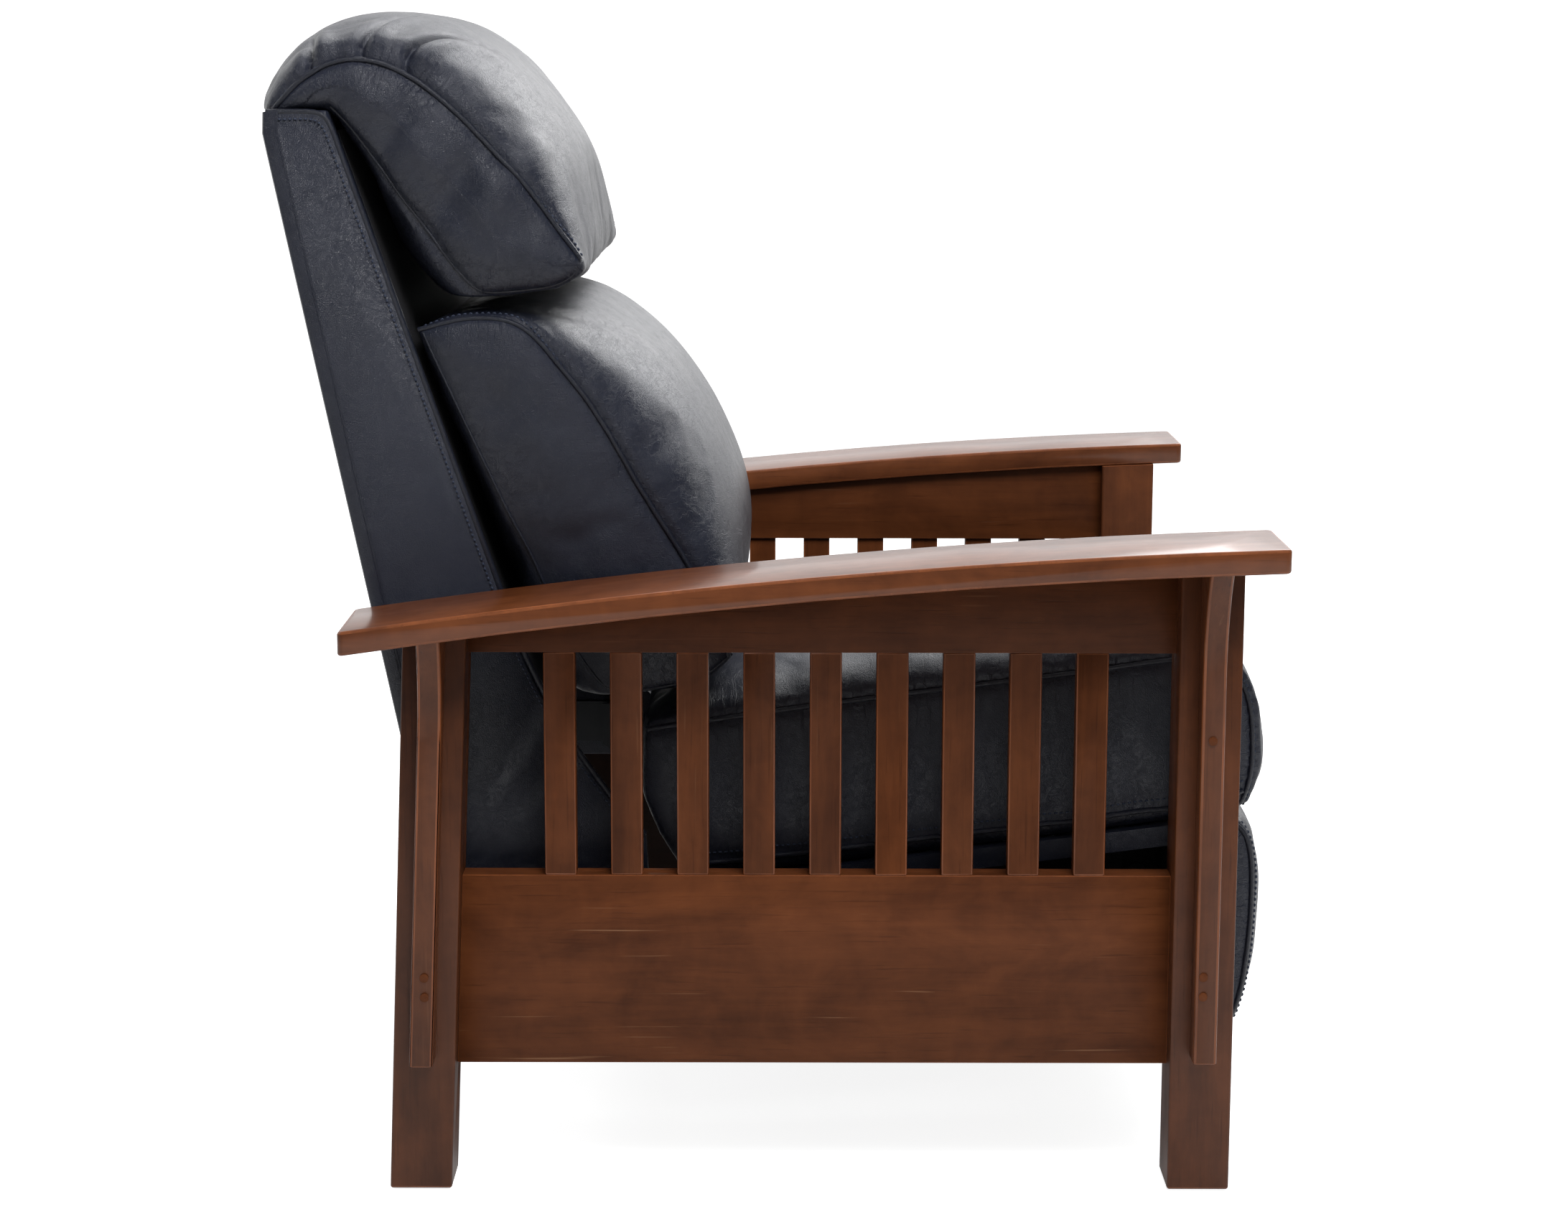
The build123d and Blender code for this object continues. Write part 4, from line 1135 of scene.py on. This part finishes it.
class RECLINER_OT_lumbar_pillow(bpy.types.Operator):
    """Stuff the lumbar pillow, with its welts and topstitching"""

    bl_idname = "recliner.lumbar_pillow"
    bl_label = "Lumbar pillow"

    def execute(self, context):
        half = sizes().half_width
        pillow, seams = stuffed("lumbar_pillow", LUMBAR_PIPING, LUMBAR_CROWN, (70, 20, 50, 3), half,
                                [BACK_ROOM, OVER_LUMBAR], swell=0.012, settle=0.012, seam_runs=2,
                                groove=0.0035)
        cover_up(pillow, "back", 0.75, seams, "lumbar_pillow")
        pillow_trim("lumbar_pillow", pillow, LUMBAR_PIPING, half)
        return {"FINISHED"}


class RECLINER_OT_seat_cushion(bpy.types.Operator):
    """Stuff the seat cushion, with its welts and topstitching"""

    bl_idname = "recliner.seat_cushion"
    bl_label = "Seat cushion"

    def execute(self, context):
        half = sizes().half_width
        cushion, seams = stuffed("seat_cushion", SEAT_PIPING, SEAT_CROWN, (90, 60, 14, 10), half,
                                 [SEAT_DECK], swell=0.006, settle=0.010, seam_runs=2, groove=0.003,
                                 fullness=1.7)
        cover_up(cushion, "seat", 0.85, seams, "seat_cushion")
        for side_name, sign in SIDES:
            path = side_path(SEAT_PIPING[:1], half, sign)
            trim(f"seat_cushion_{side_name}", cushion, path, "seat", towards_middle(sign))
            low_path = [(x, y, z + LOW_WELT_HEIGHT) for x, y, z in side_path(SEAT_PIPING[1:2], half, sign)]
            trim(f"seat_cushion_{side_name}_low", cushion, low_path, "seat",
                 lambda path: [(0, 0, 1)] * len(path))
        return {"FINISHED"}


class RECLINER_OT_footrest_pad(bpy.types.Operator):
    """Stuff the footrest pad, with its welts"""

    bl_idname = "recliner.footrest_pad"
    bl_label = "Footrest pad"

    def execute(self, context):
        half = sizes().half_width + 0.001
        pad, seams = stuffed("footrest_pad", FOOTREST_PIPING, FOOTREST_CROWN, (60, 2, 40, 2), half,
                             [FOOTREST_BOARD], swell=0.003, settle=0.005, seam_runs=1)
        cover_up(pad, "footrest", 0.8, seams, "footrest_pad")
        for side_name, sign in SIDES:
            path = side_path(FOOTREST_PIPING[:1], half, sign)
            trim(f"footrest_pad_{side_name}", pad, path, "footrest", towards_middle(sign))
        return {"FINISHED"}


class RECLINER_OT_back_upholstery(bpy.types.Operator):
    """Cover the back frame: side panels, rear cover, welts and topstitching"""

    bl_idname = "recliner.back_upholstery"
    bl_label = "Back upholstery"

    def execute(self, context):
        leather = bpy.data.materials["navy_leather"]
        for side_name, sign in SIDES:
            node = f"back_side_{side_name}"
            panel = eased_copy(node, SIDE_PANEL_EDGE)
            panel.data.polygons.foreach_set("material_index", [0] * len(panel.data.polygons))
            panel.name = f"side_panel_cover_{side_name}"
            finished(panel, "back", "leather", leather, node)
            edge = [(sign * SIDE_WELT_REACH, y, z) for y, z in metres(BACK_FRONT_EDGE)]
            edge = smooth_path(edge, SIDE_WELT_STEP)
            welts = welt(f"side_panel_welt_{side_name}", edge, SIDE_WELT_RADIUS)
            finished(welts, "back", "leather", bpy.data.materials["piping_leather"])
            row = [(sign * SIDE_STITCH_REACH, y, z) for y, z in metres(BACK_STITCH_LINE)]
            row = smooth_path(row, SIDE_STITCH_PITCH)
            thread = stitches(f"side_panel_stitches_{side_name}", row, [(sign, 0, 0)] * len(row))
            finished(thread, "back", "leather", bpy.data.materials["navy_thread"])
        self.rear_cover(leather)
        return {"FINISHED"}

    def rear_cover(self, leather):
        """Leather over the rear of the back, wrapped a little round both sides."""
        (low_y, low_z), (high_y, high_z) = metres(BACK_REAR_EDGE)
        run = Vector((0, high_y - low_y, high_z - low_z))
        out = Vector((0, run.z, -run.y)).normalized()
        flat_x, flat_depth = COVER_EDGE[-1]
        section = list(COVER_EDGE)
        for k in range(1, COVER_COLUMNS):
            crown = COVER_CROWN * sin(pi * k / COVER_COLUMNS) ** 0.5
            section.append((flat_x * (1 - 2 * k / COVER_COLUMNS), flat_depth + crown))
        section += [(-x, depth) for x, depth in reversed(COVER_EDGE)]
        inner = []
        for x, depth in section:
            narrowed = COVER_FLAT_NARROWED if abs(x) < COVER_SIDE_START else COVER_SIDE_NARROWED
            inner.append((x * narrowed, depth - COVER_WALL))
        end_x, end_depth = COVER_INNER_END
        inner[0], inner[-1] = (-end_x, end_depth), (end_x, end_depth)
        loop = section + inner[::-1]
        places = []
        for row in range(COVER_ROWS + 1):
            share = row / COVER_ROWS
            swell = sin(pi * min(max(share, 0.02), 0.98)) ** 0.4
            drawn_in = COVER_HEAD_DRAWN_IN * max(0, (share - COVER_HEAD_START) / COVER_HEAD_RUN) ** 2
            for x, depth in loop:
                flatter = max(depth - flat_depth, 0) * (1 - swell) if abs(x) < 0.28 else 0
                places.append(Vector((x, low_y, low_z)) + run * share + out * (depth - flatter - drawn_in))
        n, half = len(loop), len(section)
        faces = ring_faces(COVER_ROWS + 1, n)
        for base in (0, COVER_ROWS * n):
            for k in range(half - 1):
                faces.append((base + k, base + k + 1, base + n - 2 - k, base + n - 1 - k))
        cover = mesh_object("rear_cover", places, faces)
        outward(cover)
        shade_smooth(cover, radians(40))
        finished(cover, "back", "leather", leather, "back_rear_panel")


# Stage

# Lamps: name, place, the place they point at, width and height, power, whether reflections show them, and
# spread in degrees
LAMPS = [
    ("top_softbox", (1.2, -0.3, 3.1), (0.1, 0, 0.5), 2.6, 2.4, 42, True, 180),
    ("rim_softbox", (3.2, -1.9, 2.85), (0, 0, 0.75), 2.6, 2.4, 82, True, 180),
    ("key_softbox", (-1.9, -0.9, 3.5), (0, 0, 0.35), 2.2, 2.0, 142, False, 180),
    ("sheen_softbox", (-1.5, -0.1, 2.3), (-0.3, 0.3, 1.1), 0.8, 0.7, 1.2, True, 38),
    ("rear_softbox", (0.5, 3.3, 2.3), (0, 0, 0.6), 2.4, 2.0, 34, True, 180),
]

# The photograph's camera: place in metres, tilt, turn and roll in degrees, lens in millimetres
CAMERA_PLACE = (-3.0653, -0.0162, 1.0136)
CAMERA_ANGLES = (80.02, -90.15, 0.15)
CAMERA_LENS = 71.51

# How white the floor and the world are: to the camera, as a share of that in reflections, and as a light.
# Reflections show little of them, because the photograph's studio is dark in front of the chair.
FLOOR_WHITE, FLOOR_REFLECTED = 0.86, 0.12
WORLD_REFLECTED, WORLD_LIGHT = 0.10, 0.32


def seen_white(tree, reflected):
    """1 to the camera, also through something clear, and a share of that in reflections."""
    path = tree.nodes.new("ShaderNodeLightPath").outputs
    seen = math(tree, "MAXIMUM", path["Is Camera Ray"], path["Is Transmission Ray"])
    return math(tree, "MAXIMUM", seen, math(tree, "MULTIPLY", path["Is Glossy Ray"], reflected))


def lit_material(name, colour):
    """A material that also gives white light, with its tree and surface shader."""
    material = bpy.data.materials.new(name)
    material.use_nodes = True
    tree = material.node_tree
    shader = tree.nodes["Principled BSDF"]
    shader.inputs["Base Color"].default_value = (*colour, 1)
    shader.inputs["Emission Color"].default_value = (1, 1, 1, 1)
    return material, tree, shader


class RECLINER_OT_stage(bpy.types.Operator):
    """Set the floor, the lights, the world and the camera"""

    bl_idname = "recliner.stage"
    bl_label = "Stage"

    def execute(self, context):
        scene = context.scene
        scene.view_settings.view_transform = "Standard"
        bpy.ops.object.select_all(action="DESELECT")
        bpy.ops.mesh.primitive_plane_add(size=60)
        floor = context.active_object
        floor.name = "studio_floor"
        floor.data.materials.append(self.floor_material())
        bpy.ops.mesh.primitive_plane_add(size=12, location=(5.5, 0, 6), rotation=(0, -pi / 2, 0))
        backdrop = context.active_object
        backdrop.name = "studio_backdrop"
        bpy.ops.object.transform_apply(location=True, rotation=True, scale=True)
        backdrop.data.materials.append(self.backdrop_material())
        self.world(scene)
        for name, place, aim, width, height, power, reflected, spread in LAMPS:
            turn = (Vector(place) - Vector(aim)).to_track_quat("Z", "Y").to_euler()
            bpy.ops.object.light_add(type="AREA", location=place, rotation=turn)
            lamp = context.active_object
            lamp.name = name
            lamp.data.shape = "RECTANGLE"
            lamp.data.size, lamp.data.size_y = width, height
            lamp.data.energy = power
            lamp.data.spread = radians(spread)
            lamp.visible_glossy = reflected
        tilt, turn, roll = (radians(angle) for angle in CAMERA_ANGLES)
        aim = Euler((tilt, 0, turn)).to_matrix() @ Matrix.Rotation(roll, 3, "Z")
        bpy.ops.object.camera_add(location=CAMERA_PLACE, rotation=aim.to_euler())
        camera = context.active_object
        camera.data.sensor_width = 36
        camera.data.lens = CAMERA_LENS
        scene.camera = camera
        return {"FINISHED"}

    def floor_material(self):
        """Matt floor that the camera sees as white, but for the chair's shadow."""
        material, tree, shader = lit_material("studio_floor", colours().floor)
        shader.inputs["Roughness"].default_value = 0.9
        shader.inputs["Specular IOR Level"].default_value = 0.0
        white = math(tree, "MULTIPLY", seen_white(tree, FLOOR_REFLECTED), FLOOR_WHITE)
        tree.links.new(white, shader.inputs["Emission Strength"])
        return material

    def backdrop_material(self):
        """White to the camera and in reflections, dark as a light."""
        material, tree, shader = lit_material("studio_backdrop", (0.3, 0.3, 0.3))
        tree.links.new(seen_white(tree, 1.0), shader.inputs["Emission Strength"])
        return material

    def world(self, scene):
        """White to the camera, dim in reflections and soft as a light."""
        world = bpy.data.worlds.new("studio")
        world.use_nodes = True
        tree = world.node_tree
        back = tree.nodes["Background"]
        back.inputs["Color"].default_value = (1, 1, 1, 1)
        glossy = tree.nodes.new("ShaderNodeLightPath").outputs["Is Glossy Ray"]
        light = scaled(tree, glossy, WORLD_REFLECTED - WORLD_LIGHT, WORLD_LIGHT)
        strength = math(tree, "MAXIMUM", seen_white(tree, WORLD_REFLECTED), light)
        tree.links.new(strength, back.inputs["Strength"])
        scene.world = world


# Panel and registration

class RECLINER_PT_panel(bpy.types.Panel):
    """The steps that dress the chair"""

    bl_idname = "RECLINER_PT_panel"
    bl_label = "Mission recliner"
    bl_space_type = "VIEW_3D"
    bl_region_type = "UI"
    bl_category = "Recliner"

    def draw(self, context):
        for operator in OPERATORS:
            self.layout.operator(operator.bl_idname)
        for group in (context.scene.recliner_sizes, context.scene.recliner_colours):
            column = self.layout.column()
            for key in group.bl_rna.properties.keys():
                if key not in ("rna_type", "name"):
                    column.prop(group, key)


OPERATORS = (RECLINER_OT_stage, RECLINER_OT_finishes, RECLINER_OT_woodwork, RECLINER_OT_back_upholstery,
             RECLINER_OT_seat_cushion, RECLINER_OT_lumbar_pillow, RECLINER_OT_head_pillow,
             RECLINER_OT_footrest_pad)
CLASSES = (RECLINER_PG_sizes, RECLINER_PG_colours, *OPERATORS, RECLINER_PT_panel)


def register():
    for cls in CLASSES:
        bpy.utils.register_class(cls)
    bpy.types.Scene.recliner_sizes = PointerProperty(type=RECLINER_PG_sizes)
    bpy.types.Scene.recliner_colours = PointerProperty(type=RECLINER_PG_colours)


def unregister():
    del bpy.types.Scene.recliner_colours
    del bpy.types.Scene.recliner_sizes
    for cls in reversed(CLASSES):
        bpy.utils.unregister_class(cls)


def main():
    register()
    bpy.ops.recliner.stage()
    bpy.ops.recliner.finishes()
    bpy.ops.recliner.woodwork()
    bpy.ops.recliner.back_upholstery()
    bpy.ops.recliner.seat_cushion()
    bpy.ops.recliner.lumbar_pillow()
    bpy.ops.recliner.head_pillow()
    bpy.ops.recliner.footrest_pad()


if __name__ == "__main__":
    main()
